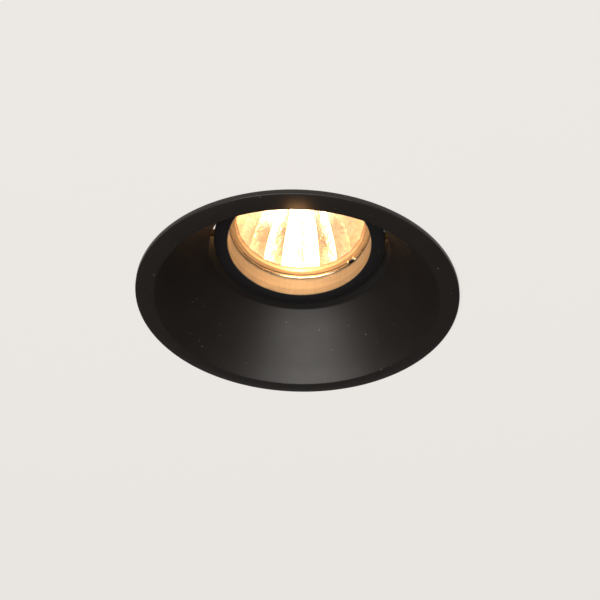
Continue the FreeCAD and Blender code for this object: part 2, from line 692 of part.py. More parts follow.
def lamp_cap():
    """Ceramic cap: holds the glass neck in front and the two pins behind, with two flats."""
    neck = "(dims.neck_radius + dims.cap_play)"
    around_neck = f"({neck} + dims.cap_wall)"
    floor = f"({cap_start} + dims.cap_grip + dims.cap_play)"
    core = "(dims.neck_bore + dims.bowl_wall)"
    profile = [
        (neck, cap_start),
        (around_neck, cap_start),
        (around_neck, f"{cap_start} + dims.cap_shoulder"),
        (f"{around_neck} - dims.cap_taper", cap_end),
        ("0", cap_end),
        ("0", f"{lamp_front} + dims.capsule_end + dims.pinch_length + dims.cap_play"),
        (core, f"{lamp_front} + dims.capsule_end + dims.pinch_length + dims.cap_play"),
        (core, floor),
        (neck, floor),
    ]
    cap = turned("lamp_cap", profile)
    wide = f"({around_neck} * 2)"
    for side in ("1", "-1"):
        near = f"{side} * dims.cap_flat"
        far = f"{side} * {wide}"
        corners = [(wide, near), (wide, far), (f"0 - {wide}", far), (f"0 - {wide}", near)]
        pocket(cap, outline(sketch_on(cap, "XY_Plane", cap_end), corners), "dims.cap_flat_length")
    root = disc(sketch_on(cap, "XY_Plane", cap_end), "dims.pin_circle", "0", "dims.pin_radius + dims.fit_gap")
    roots = pocket(cap, root, "dims.pin_root + dims.fit_gap")
    around(cap, [roots], "2")
    return cap


def lamp_pins():
    """The two stud pins that lock in the lampholder."""
    root = f"({cap_end} - dims.pin_root)"
    back = f"({head_front} + dims.pin_head_height)"
    profile = [
        ("0", root),
        ("dims.pin_radius", root),
        ("dims.pin_radius", head_front),
        ("dims.pin_head_radius", head_front),
        ("dims.pin_head_radius", back),
        ("0", back),
    ]
    pin = turned("lamp_pin", profile)
    pin.Placement.Base = Vector(size("pin_circle"), 0, 0)
    return pair("lamp_pins", pin, Vector(1, 0, 0))


# lampholder


def stadium(sketch):
    """The lampholder's outline: straight sides and round ends."""
    straight = "(dims.holder_half_length - dims.holder_end_radius)"
    corners = [
        (f"0 - {straight}", "0 - dims.holder_end_radius"),
        (straight, "0 - dims.holder_end_radius"),
        (f"{straight} + dims.holder_end_radius", "0"),
        (straight, "dims.holder_end_radius"),
        (f"0 - {straight}", "dims.holder_end_radius"),
        (f"0 - {straight} - dims.holder_end_radius", "0"),
    ]
    return outline(sketch, corners, {n: ("dims.holder_end_radius", 1) for n in (1, 2, 4, 5)})


def lampholder_body():
    """Ceramic twist-lock lampholder: keyhole slots in front, a chamber for each contact behind."""
    holder = body("lampholder_body")
    pad(holder, stadium(sketch_on(holder, "XY_Plane", holder_front)), "dims.holder_height")
    chamber = sector(
        sketch_on(holder, "XY_Plane", holder_back),
        "dims.chamber_inner",
        "dims.chamber_outer",
        "(0 - dims.holder_turn_angle - dims.chamber_margin_angle)",
        "dims.chamber_margin_angle",
    )
    chambers = pocket(holder, chamber, "dims.holder_height - dims.holder_front")
    slot_half = "(dims.pin_radius + dims.slot_play)"
    entry = "(0 - dims.holder_turn_angle)"
    lock = disc(sketch_on(holder, "XY_Plane", holder_front), "dims.pin_circle", "0", slot_half)
    locks = pocket(holder, lock, "dims.holder_front + dims.cut_over", backwards=True)
    track = sector(
        sketch_on(holder, "XY_Plane", holder_front),
        f"(dims.pin_circle - {slot_half})",
        f"(dims.pin_circle + {slot_half})",
        entry,
        "0",
    )
    tracks = pocket(holder, track, "dims.holder_front + dims.cut_over", backwards=True)
    door = disc(
        sketch_on(holder, "XY_Plane", holder_front),
        f"dims.pin_circle * cos({entry})",
        f"dims.pin_circle * sin({entry})",
        "dims.pin_head_radius + dims.slot_play",
    )
    doors = pocket(holder, door, "dims.holder_front + dims.cut_over", backwards=True)
    thread = disc(sketch_on(holder, "XY_Plane", holder_back), "dims.holder_screw_at", "0", screw_hole)
    threads = pocket(holder, thread, "dims.holder_screw_depth + dims.fit_gap")
    around(holder, [chambers, locks, tracks, doors, threads], "2")
    return holder


def lampholder_cover():
    """Back cover of the lampholder, with the two lead entries."""
    cover = body("lampholder_cover")
    pad(cover, stadium(sketch_on(cover, "XY_Plane", cover_front)), "dims.cover_thickness")
    lead = disc(
        sketch_on(cover, "XY_Plane", cover_back),
        "dims.lead_circle * cos(dims.holder_turn_angle / 2)",
        "0 - dims.lead_circle * sin(dims.holder_turn_angle / 2)",
        "dims.lead_radius",
    )
    leads = pocket(cover, lead, "dims.cover_thickness")
    screw = disc(sketch_on(cover, "XY_Plane", cover_back), "dims.holder_screw_at", "0", screw_hole)
    screws = pocket(cover, screw, "dims.cover_thickness")
    around(cover, [leads, screws], "2")
    return cover


def lampholder_contacts():
    """Two bronze contact strips, curved about the lamp's axis so that the pins slide past them."""
    contact = body("lampholder_contact")
    inner = "(dims.pin_circle + dims.pin_head_radius + dims.contact_gap)"
    middle = "(0 - dims.holder_turn_angle / 2)"
    strip = sector(
        sketch_on(contact, "XY_Plane", f"{holder_back} - dims.contact_height"),
        inner,
        f"({inner} + dims.contact_sheet)",
        f"({middle} - dims.contact_span_angle)",
        f"({middle} + dims.contact_span_angle)",
    )
    pad(contact, strip, "dims.contact_height")
    other = doc.addObject("Part::Compound", "lampholder_contact_other")
    other.Links = [flipped(flipped(contact, Vector(1, 0, 0)), Vector(0, 1, 0))]
    return joined("Part::Compound", "lampholder_contacts", [contact, other])


def lampholder_screws():
    """Two cheese-head screws that hold the cover on the lampholder."""
    tip = f"({holder_back} - dims.holder_screw_depth)"
    top = f"({cover_back} + dims.cover_gap)"
    profile = [
        ("0", tip),
        ("dims.holder_screw_radius", tip),
        ("dims.holder_screw_radius", top),
        ("dims.holder_screw_head", top),
        ("dims.holder_screw_head", f"{top} + dims.holder_screw_rise"),
        ("0", f"{top} + dims.holder_screw_rise"),
    ]
    screw = turned("lampholder_screw", profile)
    screw.Placement.Base = Vector(size("holder_screw_at"), 0, 0)
    return pair("lampholder_screws", screw, Vector(1, 0, 0))


# spring clips, drawn about the clip pin


def clip_place(side, rotation):
    """Where a clip's piece goes: on its pin, turned round the light for the left clip."""
    about_light = Placement(Vector(0, 0, 0), Rotation(Vector(0, 0, 1), 0 if side == "right" else 180))
    return about_light * Placement(Vector(number(clip_pin_x), 0, size("clip_pin_z")), rotation)


def dropped():
    """The arm's turn about its pin, down to the slope at which it rests."""
    return Rotation(Vector(0, 1, 0), size("arm_slope_angle"))


def clip_pins():
    """Headed pins through the cast lugs, one for each clip, grooved for a retaining ring."""
    head = f"({lug_outer} + dims.fit_gap)"
    groove = f"({head} + dims.keeper_thickness + 2 * dims.fit_gap)"
    end = f"({groove} + dims.clip_pin_end)"
    profile = [
        ("0", f"0 - {head} - dims.clip_pin_head_height"),
        ("dims.clip_pin_head", f"0 - {head} - dims.clip_pin_head_height"),
        ("dims.clip_pin_head", f"0 - {head}"),
        ("dims.clip_pin_radius", f"0 - {head}"),
        ("dims.clip_pin_radius", head),
        ("dims.clip_pin_groove", head),
        ("dims.clip_pin_groove", groove),
        ("dims.clip_pin_radius", groove),
        ("dims.clip_pin_radius", end),
        ("0", end),
    ]
    pin = turned("clip_pin", profile)
    pin.Placement = clip_place("right", Rotation(Vector(1, 0, 0), 90))
    return pair("clip_pins", pin, Vector(1, 0, 0))


def clip_pin_keepers():
    """Open retaining rings in the grooves of the clip pins."""
    start = f"({lug_outer} + 2 * dims.fit_gap)"
    end = f"({start} + dims.keeper_thickness)"
    inner = "(dims.clip_pin_groove + dims.fit_gap)"
    profile = [(inner, start), ("dims.keeper_radius", start), ("dims.keeper_radius", end), (inner, end)]
    keeper = turned("clip_pin_keeper", profile, angle="dims.keeper_span_angle")
    keeper.Placement = clip_place("right", Rotation(Vector(1, 0, 0), 90))
    return pair("clip_pin_keepers", keeper, Vector(1, 0, 0))


def clip_arm(side):
    """Pressed steel clip arm: a flat strap with a bead, and two cheeks that hang on the pin."""
    arm = body(f"{side}_clip_arm")
    strap = sketch_on(arm, "XZ_Plane")
    rectangle(strap, "0 - dims.arm_heel", strap_bottom, "dims.arm_reach", strap_top)
    pad(arm, strap, f"2 * {cheek_outer}", both_ways=True)
    cheek = [
        ("dims.arm_eye", "0"),
        ("0", "dims.arm_eye"),
        ("0 - dims.arm_eye", "0"),
        ("0 - dims.arm_heel", strap_bottom),
        ("dims.arm_cheek", strap_bottom),
        ("dims.arm_cheek", strap_top),
        (f"dims.arm_eye - {strap_top}", strap_top),
    ]
    rounds = {0: ("dims.arm_eye", 1), 1: ("dims.arm_eye", 1)}
    for shift, backwards in ((cheek_inner, False), (f"0 - {cheek_inner}", True)):
        sketch = outline(sketch_on(arm, "XZ_Plane", shift), cheek, rounds)
        pad(arm, sketch, "dims.arm_sheet", backwards=backwards)
    eye = disc(sketch_on(arm, "XZ_Plane"), "0", "0", "dims.clip_pin_radius + dims.clip_pin_play")
    pocket(arm, eye, f"2 * {cheek_outer} + dims.cut_over", both_ways=True)
    bead_end = "(dims.arm_reach - dims.sleeve_length - dims.arm_sheet)"
    bead = [
        ("dims.arm_bead_start", strap_top),
        (bead_end, strap_top),
        (f"{bead_end} - dims.arm_bead_height", f"{strap_top} + dims.arm_bead_height"),
        ("dims.arm_bead_start + dims.arm_bead_height", f"{strap_top} + dims.arm_bead_height"),
    ]
    pad(arm, outline(sketch_on(arm, "XZ_Plane"), bead), "dims.arm_bead_width", both_ways=True)
    arm.Placement = clip_place(side, dropped())
    return arm


def clip_sleeve(side):
    """Soft moulded sleeve on the arm's toe, with a crowned underside that presses on the soffit."""
    sleeve = body(f"{side}_clip_sleeve")
    start = "(dims.arm_reach - dims.sleeve_length)"
    end = "(dims.arm_reach + dims.sleeve_wall)"
    top = f"({strap_top} + dims.sleeve_wall)"
    bottom = f"({strap_bottom} - dims.sleeve_wall)"
    span = f"({end} - {start})"
    crown = f"(({span} / 2) ^ 2 / (2 * dims.sleeve_sole) + dims.sleeve_sole / 2)"
    side_view = [(start, bottom), (end, bottom), (end, top), (start, top)]
    half_width = f"({cheek_outer} + dims.sleeve_wall)"
    block = outline(sketch_on(sleeve, "XZ_Plane"), side_view, {0: (crown, 1)})
    pad(sleeve, block, f"2 * {half_width}", both_ways=True)
    corners = [
        (f"{start} - dims.cut_over", f"0 - {cheek_outer} - dims.sleeve_gap"),
        ("dims.arm_reach + dims.sleeve_gap", f"0 - {cheek_outer} - dims.sleeve_gap"),
        ("dims.arm_reach + dims.sleeve_gap", f"{cheek_outer} + dims.sleeve_gap"),
        (f"{start} - dims.cut_over", f"{cheek_outer} + dims.sleeve_gap"),
    ]
    slit = outline(sketch_on(sleeve, "XY_Plane", f"{strap_top} + dims.sleeve_gap"), corners)
    pocket(sleeve, slit, "dims.arm_sheet + 2 * dims.sleeve_gap")
    sleeve.Placement = clip_place(side, dropped())
    return sleeve


# torsion springs: one unbroken wire each


def biarc(start, start_way, end, end_way):
    """Two arcs that meet smoothly, from start to end, tangent to both directions."""
    chord = end - start
    square = 2 * (1 - start_way.dot(end_way))
    across = chord.dot(start_way + end_way)
    reach = (math.sqrt(across**2 + square * chord.dot(chord)) - across) / square
    first_corner = start + start_way * reach
    last_corner = end - end_way * reach
    meet = (first_corner + last_corner) * 0.5
    return [arc_through(start, first_corner, meet), arc_through(meet, last_corner, end)]


def arc_through(first, corner, last):
    """The arc from first to last whose tangents meet at corner."""
    middle = (first + last) * 0.5
    half = (last - first).Length / 2
    radius = half * (corner - first).Length / (corner - middle).Length
    bulge = radius - math.sqrt(radius**2 - half**2)
    return Part.Arc(first, middle + (corner - middle).normalize() * bulge, last).toShape()


def least_gap(edges, apart):
    """The least distance between points of a path that are further than apart along it."""
    line = [point for edge in edges for point in edge.discretize(path_points)]
    travelled = [0.0]
    for before, after in zip(line, line[1:]):
        travelled.append(travelled[-1] + (after - before).Length)
    pairs = [(a, b) for a in range(len(line)) for b in range(a) if travelled[a] - travelled[b] > apart]
    return min((line[a] - line[b]).Length for a, b in pairs)


def torsion_spring(side):
    """Coil round the clip pin: one leg lies on the cone, the other presses the strap down."""
    radius = size("coil_radius")
    pitch = size("coil_pitch")
    lean = math.radians(number(cone_lean))
    slope = math.radians(size("arm_slope_angle"))
    start_angle = math.pi + lean
    end_angle = 1.5 * math.pi - slope + 2 * math.pi * size("coil_turns")
    sweep = end_angle - start_angle
    length = pitch * sweep / (2 * math.pi)
    steps = math.ceil(sweep / math.pi)

    def spot(angle):
        along = -length / 2 + length * (angle - start_angle) / sweep
        return Vector(radius * math.cos(angle), along, radius * math.sin(angle))

    def way(angle, climb):
        return Vector(-radius * math.sin(angle), climb, radius * math.cos(angle)).normalize()

    angles = [start_angle + sweep * n / steps for n in range(steps + 1)]
    climbs = [0] + [pitch / (2 * math.pi)] * (steps - 1) + [0]
    foot = spot(start_angle) - way(start_angle, 0) * size("spring_foot")
    toe = spot(end_angle) + way(end_angle, 0) * size("spring_leg")
    stations = [(spot(angle), way(angle, climb)) for angle, climb in zip(angles, climbs)]
    edges = [Part.LineSegment(foot, spot(start_angle)).toShape()]
    for before, after in zip(stations, stations[1:]):
        edges += biarc(*before, *after)
    edges.append(Part.LineSegment(spot(end_angle), toe).toShape())
    path = Part.Wire(edges)

    gap = least_gap(edges, math.pi * radius) - size("wire")
    print(f"{side} clip spring: wire {path.Length:.1f} mm long, least gap to itself {gap:.2f} mm")

    across = Vector(0, 1, 0)
    upright = way(start_angle, 0).cross(across)
    section = [(number(x), number(y)) for x, y in wire_section("dims.wire")]
    profile = Part.makePolygon([foot + across * x + upright * y for x, y in section + section[:1]])
    shell = Part.BRepOffsetAPI.MakePipeShell(path)
    shell.add(profile)
    shell.build()
    shell.makeSolid()
    spring = doc.addObject("Part::Feature", f"{side}_clip_spring")
    spring.Label = f"{side}_clip_spring"
    spring.Shape = shell.shape()
    spring.Placement = clip_place(side, Rotation())
    return spring


# the light

tilted = Placement(Vector(0, 0, size("pivot_height")), Rotation(Vector(1, 0, 0), -size("tilt_angle")))
head = [
    gimbal_ring(),
    pivot_screws(),
    pivot_washers(),
    lamp_circlip(),
    lamp_reflector(),
    lamp_front_glass(),
    lamp_capsule(),
    lamp_filament(),
    lamp_cap(),
    lamp_pins(),
    lampholder_body(),
    lampholder_cover(),
    lampholder_contacts(),
    lampholder_screws(),
]
doc.recompute()
for piece in head:
    piece.Placement = tilted * piece.Placement

fixed = [baffle_trim(), clip_pins(), clip_pin_keepers()]
clips = [make(side) for side in ("left", "right") for make in (clip_arm, clip_sleeve, torsion_spring)]
doc.recompute()

pieces = fixed + clips + head
faults = [thing.Name for thing in doc.Objects if "Invalid" in thing.State or "Error" in thing.State]
faults += [piece.Label for piece in pieces if piece.Shape.isNull() or not piece.Shape.isValid()]
if faults:
    raise ValueError(f"these did not build: {faults}")

os.makedirs("parts", exist_ok=True)
for piece in pieces:
    piece.Shape.exportStep(f"parts/{piece.Label}.step")
    print(f"{piece.Label}: {len(piece.Shape.Solids)} solids, {piece.Shape.Volume:.1f} mm3")
print(f"{len(pieces)} parts written")
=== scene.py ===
import bpy
import math
from mathutils import Matrix, Vector


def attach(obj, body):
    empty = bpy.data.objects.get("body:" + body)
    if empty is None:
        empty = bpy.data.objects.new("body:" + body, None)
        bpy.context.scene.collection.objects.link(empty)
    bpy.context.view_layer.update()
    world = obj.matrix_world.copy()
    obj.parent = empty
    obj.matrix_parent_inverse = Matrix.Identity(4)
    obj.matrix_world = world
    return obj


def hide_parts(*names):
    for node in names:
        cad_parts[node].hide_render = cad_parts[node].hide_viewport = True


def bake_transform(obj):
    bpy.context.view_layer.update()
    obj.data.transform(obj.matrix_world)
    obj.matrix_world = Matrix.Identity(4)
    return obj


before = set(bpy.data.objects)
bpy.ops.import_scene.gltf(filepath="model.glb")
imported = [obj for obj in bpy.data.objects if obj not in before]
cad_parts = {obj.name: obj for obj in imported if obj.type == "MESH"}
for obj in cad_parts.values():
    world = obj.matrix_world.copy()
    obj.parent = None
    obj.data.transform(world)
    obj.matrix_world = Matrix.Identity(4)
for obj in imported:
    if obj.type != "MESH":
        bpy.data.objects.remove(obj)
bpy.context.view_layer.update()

mm = 0.001
tilt = {"height": 29.6, "angle": 6.08}  # the lamp's pivot above the soffit, and its lean
clipPin = {"x": 43.2, "z": 14.0, "drop": 9.0}  # a spring clip's pin, and how far its arm hangs down

lampFrame = Matrix.Translation((0, 0, tilt["height"] * mm)) @ Matrix.Rotation(math.radians(-tilt["angle"]), 4, "X")
clipFrame = {}
armFrame = {}
for side, turn in (("right", 0), ("left", 180)):
    around = Matrix.Rotation(math.radians(turn), 4, "Z")
    clipFrame[side] = around @ Matrix.Translation((clipPin["x"] * mm, 0, clipPin["z"] * mm))
    armFrame[side] = clipFrame[side] @ Matrix.Rotation(math.radians(clipPin["drop"]), 4, "Y")


# modelling helpers: every length they take is in mm

def clearSelection():
    if bpy.context.object and bpy.context.object.mode != "OBJECT":
        bpy.ops.object.mode_set(mode="OBJECT")
    bpy.ops.object.select_all(action="DESELECT")


def pick(piece):
    clearSelection()
    piece.select_set(True)
    bpy.context.view_layer.objects.active = piece
    return piece


def bake():
    bpy.ops.object.transform_apply(location=True, rotation=True, scale=True)


def settle(name=None):
    # the primitive just added becomes a piece whose place is in its mesh
    piece = bpy.context.object
    bake()
    if name:
        piece.name = name
        piece.data.name = name
    return piece


def edit(piece, action="SELECT", mode="VERT"):
    pick(piece)
    bpy.ops.object.mode_set(mode="EDIT")
    bpy.ops.mesh.select_mode(type=mode)
    bpy.ops.mesh.select_all(action=action)


def done():
    bpy.ops.object.mode_set(mode="OBJECT")


def choose(piece, test, kind="FACE"):
    # select by place: test gets a middle point in mm, and a normal for faces
    edit(piece, "DESELECT", kind)
    done()
    mesh = piece.data
    for item in {"FACE": mesh.polygons, "EDGE": mesh.edges, "VERT": mesh.vertices}[kind]:
        if kind == "FACE":
            item.select = test(item.center / mm, item.normal)
        elif kind == "EDGE":
            a, b = (mesh.vertices[n].co / mm for n in item.vertices)
            item.select = test(a, b)
        else:
            item.select = test(item.co / mm)
    bpy.ops.object.mode_set(mode="EDIT")


def rotateBy(degrees, axis, centre):
    # with no window this operator turns the other way
    bpy.ops.transform.rotate(value=-math.radians(degrees), orient_axis=axis, center_override=Vector(centre) * mm)


def moveBy(x, y, z):
    bpy.ops.transform.translate(value=Vector((x, y, z)) * mm)


def extrudeBy(x, y, z):
    bpy.ops.mesh.extrude_region_move(TRANSFORM_OT_translate={"value": Vector((x, y, z)) * mm})


def block(low, high, name=None):
    low, high = Vector(low), Vector(high)
    clearSelection()
    bpy.ops.mesh.primitive_cube_add(size=1, location=(low + high) / 2 * mm, scale=(high - low) * mm)
    return settle(name)


def rod(radius, start, end, axis="Z", at=(0, 0), steps=48):
    # a cylinder along an axis; at gives its place on the other two axes, in their order
    turn = {"Z": (0, 0, 0), "X": (0, math.pi / 2, 0), "Y": (math.pi / 2, 0, 0)}[axis]
    middle = (start + end) / 2
    spot = {"Z": (*at, middle), "X": (middle, *at), "Y": (at[0], middle, at[1])}[axis]
    clearSelection()
    bpy.ops.mesh.primitive_cylinder_add(
        vertices=steps, radius=radius * mm, depth=(end - start) * mm, location=Vector(spot) * mm, rotation=turn
    )
    return settle()


def stackRings(name, profile, steps, filled=False):
    # rings along z: the first is a circle, each next one is extruded and sized
    radius, height = profile[0]
    clearSelection()
    bpy.ops.mesh.primitive_circle_add(vertices=steps, radius=radius * mm, location=(0, 0, height * mm))
    piece = settle(name)
    edit(piece)
    if filled:
        bpy.ops.mesh.edge_face_add()
        bpy.ops.mesh.select_all(action="SELECT")
    for nextRadius, nextHeight in profile[1:]:
        bpy.ops.mesh.extrude_region_move()
        moveBy(0, 0, nextHeight - height)
        scale = nextRadius / radius
        bpy.ops.transform.resize(value=(scale, scale, 1), center_override=(0, 0, nextHeight * mm))
        radius, height = nextRadius, nextHeight
    done()
    return piece


def lathe(name, profile, steps=96, closed=True):
    # closed joins the last ring to the first, otherwise both ends are filled
    piece = stackRings(name, profile, steps, filled=not closed)
    if closed:
        edit(piece, "DESELECT", "EDGE")
        bpy.ops.mesh.select_non_manifold()
        bpy.ops.mesh.bridge_edge_loops()
    return outwards(piece)


def wireStart(name, wire, spot, steps, rotation=(0, 0, 0)):
    # the round end section of a wire, which is then carried along its way
    clearSelection()
    bpy.ops.mesh.primitive_circle_add(
        vertices=steps, radius=wire / 2 * mm, location=Vector(spot) * mm, rotation=rotation
    )
    return settle(name)


def closeEnds(piece):
    edit(piece, "DESELECT")
    bpy.ops.mesh.select_non_manifold()
    bpy.ops.mesh.fill_holes(sides=0)
    return outwards(piece)


def outwards(piece):
    edit(piece)
    bpy.ops.mesh.normals_make_consistent(inside=False)
    done()
    return piece


def modifier(piece, kind, **settings):
    pick(piece)
    added = piece.modifiers.new(kind.title(), kind)
    for key, value in settings.items():
        setattr(added, key, value)
    bpy.ops.object.modifier_apply(modifier=added.name)
    return piece


def soften(piece, width, segments, angle):
    return modifier(
        piece, "BEVEL", width=width * mm, segments=segments, limit_method="ANGLE",
        angle_limit=math.radians(angle), miter_outer="MITER_ARC",
    )


def roundEdges(piece, test, radius, segments):
    choose(piece, test, "EDGE")
    bpy.ops.mesh.bevel(offset=radius * mm, segments=segments, affect="EDGES")
    done()


def cut(piece, *tools, operation="DIFFERENCE"):
    for tool in tools:
        modifier(piece, "BOOLEAN", object=tool, operation=operation, solver="EXACT")
        bpy.data.objects.remove(tool)


def join(name, *pieces):
    pick(pieces[0])
    for piece in pieces:
        piece.select_set(True)
    bpy.ops.object.join()
    piece = bpy.context.object
    piece.name = name
    piece.data.name = name
    return piece


def duplicate(piece):
    pick(piece)
    bpy.ops.object.duplicate()
    return bpy.context.object


def copyTurned(piece, degrees):
    # a copy with its own mesh, turned round the light's middle
    other = duplicate(piece)
    other.rotation_euler.z = math.radians(degrees)
    bake()
    return other


def copyMirrored(piece):
    # the same piece on the light's other side
    other = duplicate(piece)
    other.scale.x = -1
    bake()
    return outwards(other)


def withTwin(piece):
    return join(piece.name, piece, copyTurned(piece, 180))


def place(piece, where):
    pick(piece)
    piece.matrix_world = where @ piece.matrix_world
    bake()


def finishPiece(piece, paint, body, slot, node, smooth):
    # smooth: the steepest angle between faces that still shades as one
    pick(piece)
    bpy.ops.object.shade_smooth_by_angle(angle=math.radians(smooth))
    piece.data.materials.clear()
    piece.data.materials.append(paint)
    if body:
        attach(piece, body)
    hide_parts(node)


def finishHead(piece, *look):
    # the lamp's pieces are drawn upright and lean with it
    place(piece, lampFrame)
    finishPiece(piece, *look)


def sweepArc(piece, centre, axis, degrees, steps, climb=0):
    # the selected end section is carried round an axis, step by step
    along = {"X": (1, 0, 0), "Y": (0, 1, 0), "Z": (0, 0, 1)}[axis]
    for _ in range(steps):
        bpy.ops.mesh.extrude_region_move()
        rotateBy(degrees / steps, axis, centre)
        if climb:
            moveBy(*(Vector(along) * (climb / steps)))


# shader helpers

class Wire:
    # one socket, so that shader maths reads as plain sums
    def __init__(self, paint, socket):
        self.paint = paint
        self.socket = socket

    def sum(self, operation, first, second):
        return self.paint.node("ShaderNodeMath", {"operation": operation}, {0: first, 1: second})

    def __add__(self, other):
        return self.sum("ADD", self, other)

    def __radd__(self, other):
        return self + other

    def __sub__(self, other):
        return self.sum("SUBTRACT", self, other)

    def __rsub__(self, other):
        return self.sum("SUBTRACT", other, self)

    def __mul__(self, other):
        return self.sum("MULTIPLY", self, other)

    def __pow__(self, other):
        return self.sum("POWER", self, other)

    def largest(self, other):
        return self.sum("MAXIMUM", self, other)

    def part(self, low, high):
        # 0 below low, 1 above high, smooth between
        inputs = {"Value": self, "From Min": low, "From Max": high}
        return self.paint.node("ShaderNodeMapRange", {"interpolation_type": "SMOOTHSTEP"}, inputs)


def shade(tone, *shares):
    # the same tone, darker or lighter
    return [tuple(min(1.0, c * share) for c in tone) for share in shares]


class Paint:
    def __init__(self, name):
        self.material = bpy.data.materials.new(name)
        self.material.use_nodes = True
        self.tree = self.material.node_tree
        self.shader = self.tree.nodes["Principled BSDF"]

    def wireUp(self, sockets, values):
        for key, value in values.items():
            if isinstance(value, Wire):
                self.tree.links.new(value.socket, sockets[key])
            else:
                tone = sockets[key].type == "RGBA"
                sockets[key].default_value = (*value, 1.0) if tone else value

    def node(self, kind, settings=None, inputs=None, out=0):
        made = self.tree.nodes.new(kind)
        for key, value in (settings or {}).items():
            setattr(made, key, value)
        self.wireUp(made.inputs, inputs or {})
        return Wire(self, made.outputs[out])

    def spot(self, shift=None, turn=None, stretch=(1, 1, 1)):
        # object coordinates in mm, moved into a piece's own frame
        base = self.node("ShaderNodeTexCoord", out="Object")
        spot = self.node("ShaderNodeVectorMath", {"operation": "SCALE"}, {0: base, "Scale": 1000.0})
        if shift:
            inputs = {"Vector": spot, "Location": shift, "Rotation": turn}
            spot = self.node("ShaderNodeMapping", {"vector_type": "TEXTURE"}, inputs)
        if stretch != (1, 1, 1):
            spot = self.node("ShaderNodeVectorMath", {"operation": "MULTIPLY"}, {0: spot, 1: stretch})
        return spot

    def lampSpot(self, stretch=(1, 1, 1)):
        return self.spot((0, 0, tilt["height"]), (-math.radians(tilt["angle"]), 0, 0), stretch)

    def outputs(self, kind, names, inputs=None):
        made = self.node(kind, inputs=inputs).socket.node
        return [Wire(self, made.outputs[name]) for name in names]

    def axes(self, spot):
        return self.outputs("ShaderNodeSeparateXYZ", "XYZ", {0: spot})

    def radius(self, spot):
        x, y, _ = self.axes(spot)
        return (x * x + y * y) ** 0.5

    def noise(self, spot, scale, detail=3.0, roughness=0.55):
        return self.node(
            "ShaderNodeTexNoise", inputs={"Vector": spot, "Scale": scale, "Detail": detail, "Roughness": roughness}
        )

    def specks(self, spot, scale, size):
        # small round dots scattered over the surface
        cell = self.node("ShaderNodeTexVoronoi", {"feature": "F1"}, {"Vector": spot, "Scale": scale}, "Distance")
        return 1 - cell.part(size * 0.6, size)

    def mix(self, amount, first, second):
        # a colour mix has its factor, first and second colour at these sockets
        inputs = {0: amount, 6: first, 7: second}
        return self.node("ShaderNodeMix", {"data_type": "RGBA"}, inputs, 2)

    def feed(self, **inputs):
        names = {
            "colour": "Base Color", "roughness": "Roughness", "metallic": "Metallic", "coat": "Coat Weight",
            "alpha": "Alpha", "glow": "Emission Color", "glowStrength": "Emission Strength", "ior": "IOR",
            "coatRoughness": "Coat Roughness", "normal": "Normal",
        }
        self.wireUp(self.shader.inputs, {names[key]: value for key, value in inputs.items()})

    def bump(self, height, depth):
        # depth in mm
        self.feed(normal=self.node("ShaderNodeBump", inputs={"Height": height, "Distance": depth * mm}))


# camera, ceiling and lights

shot = {
    "distance": 0.385, "elevation": 37.58, "azimuth": -1.87, "roll": 2.18, "lens": 67.6,
    "sensor": 36, "width": 600, "aimRight": 2.8, "aimUp": -0.4,  # width and aim in pixels
}


def setCamera():
    e, a = math.radians(shot["elevation"]), math.radians(shot["azimuth"])
    roll = math.radians(shot["roll"])
    spot = Vector((-math.sin(a) * math.cos(e), -math.cos(a) * math.cos(e), -math.sin(e))) * shot["distance"]
    ahead = -spot.normalized()
    right = ahead.cross(Vector((0, 0, 1))).normalized()
    up = right.cross(ahead)
    rolledRight = right * math.cos(roll) + up * math.sin(roll)
    rolledUp = up * math.cos(roll) - right * math.sin(roll)
    pixels = shot["lens"] / shot["sensor"] * shot["width"]
    ahead = (ahead + rolledRight * (shot["aimRight"] / pixels) + rolledUp * (shot["aimUp"] / pixels)).normalized()
    rolledRight = ahead.cross(rolledUp).normalized()
    rolledUp = rolledRight.cross(ahead)
    bpy.ops.object.camera_add()
    camera = bpy.context.object
    camera.data.lens = shot["lens"]
    camera.data.sensor_width = shot["sensor"]
    camera.data.clip_start = 0.01
    camera.matrix_world = Matrix.Translation(spot) @ Matrix(
        (rolledRight, rolledUp, -ahead)
    ).transposed().to_4x4()
    bpy.context.scene.camera = camera


ceiling = {"hole": 50.0, "size": 3000.0, "height": 0.04, "tone": (0.851, 0.820, 0.788), "shadowShare": 0.16}
studio = {"sky": 0.13, "skyTone": (1.0, 0.955, 0.91)}
lights = [
    # name, place in m, width and height in m, watts, colour
    ("softbox", (-0.30, -1.40, -1.52), (2.1, 0.95), 52.0, (1.0, 0.965, 0.93)),
    ("topSoftbox", (0.9, -1.3, 1.5), (1.4, 1.4), 36.0, (1.0, 0.985, 0.97)),
    ("topFill", (-1.5, 0.9, 1.0), (1.2, 1.2), 15.0, (0.96, 0.98, 1.0)),
]
lampSpill = [
    # the lamp's own stray light: name, place in mm, radius in mm, watts
    ("spillBelowLip", (0.5, -45.0, -6.0), 4.0, 0.0034),
    ("leakLeft", (-30.2, 4.0, 41.0), 1.2, 0.014),
    ("leakRight", (30.2, 10.0, 41.0), 1.2, 0.004),
]
lampTone = (1.0, 0.50, 0.18)


def paleGlow(paint, tone, share):
    # seen straight or in a reflection the board has its own plain tone, and it still takes shadows
    rays = ("Is Camera Ray", "Is Glossy Ray", "Is Transmission Ray")
    camera, glossy, through = paint.outputs("ShaderNodeLightPath", rays)
    seen = camera.largest(glossy).largest(through) * (1 - share)
    glow = paint.node("ShaderNodeEmission", inputs={"Color": tone, "Strength": 1.0})
    mixed = paint.node("ShaderNodeMixShader", inputs={0: seen, 1: Wire(paint, paint.shader.outputs[0]), 2: glow})
    paint.tree.links.new(mixed.socket, paint.tree.nodes["Material Output"].inputs["Surface"])


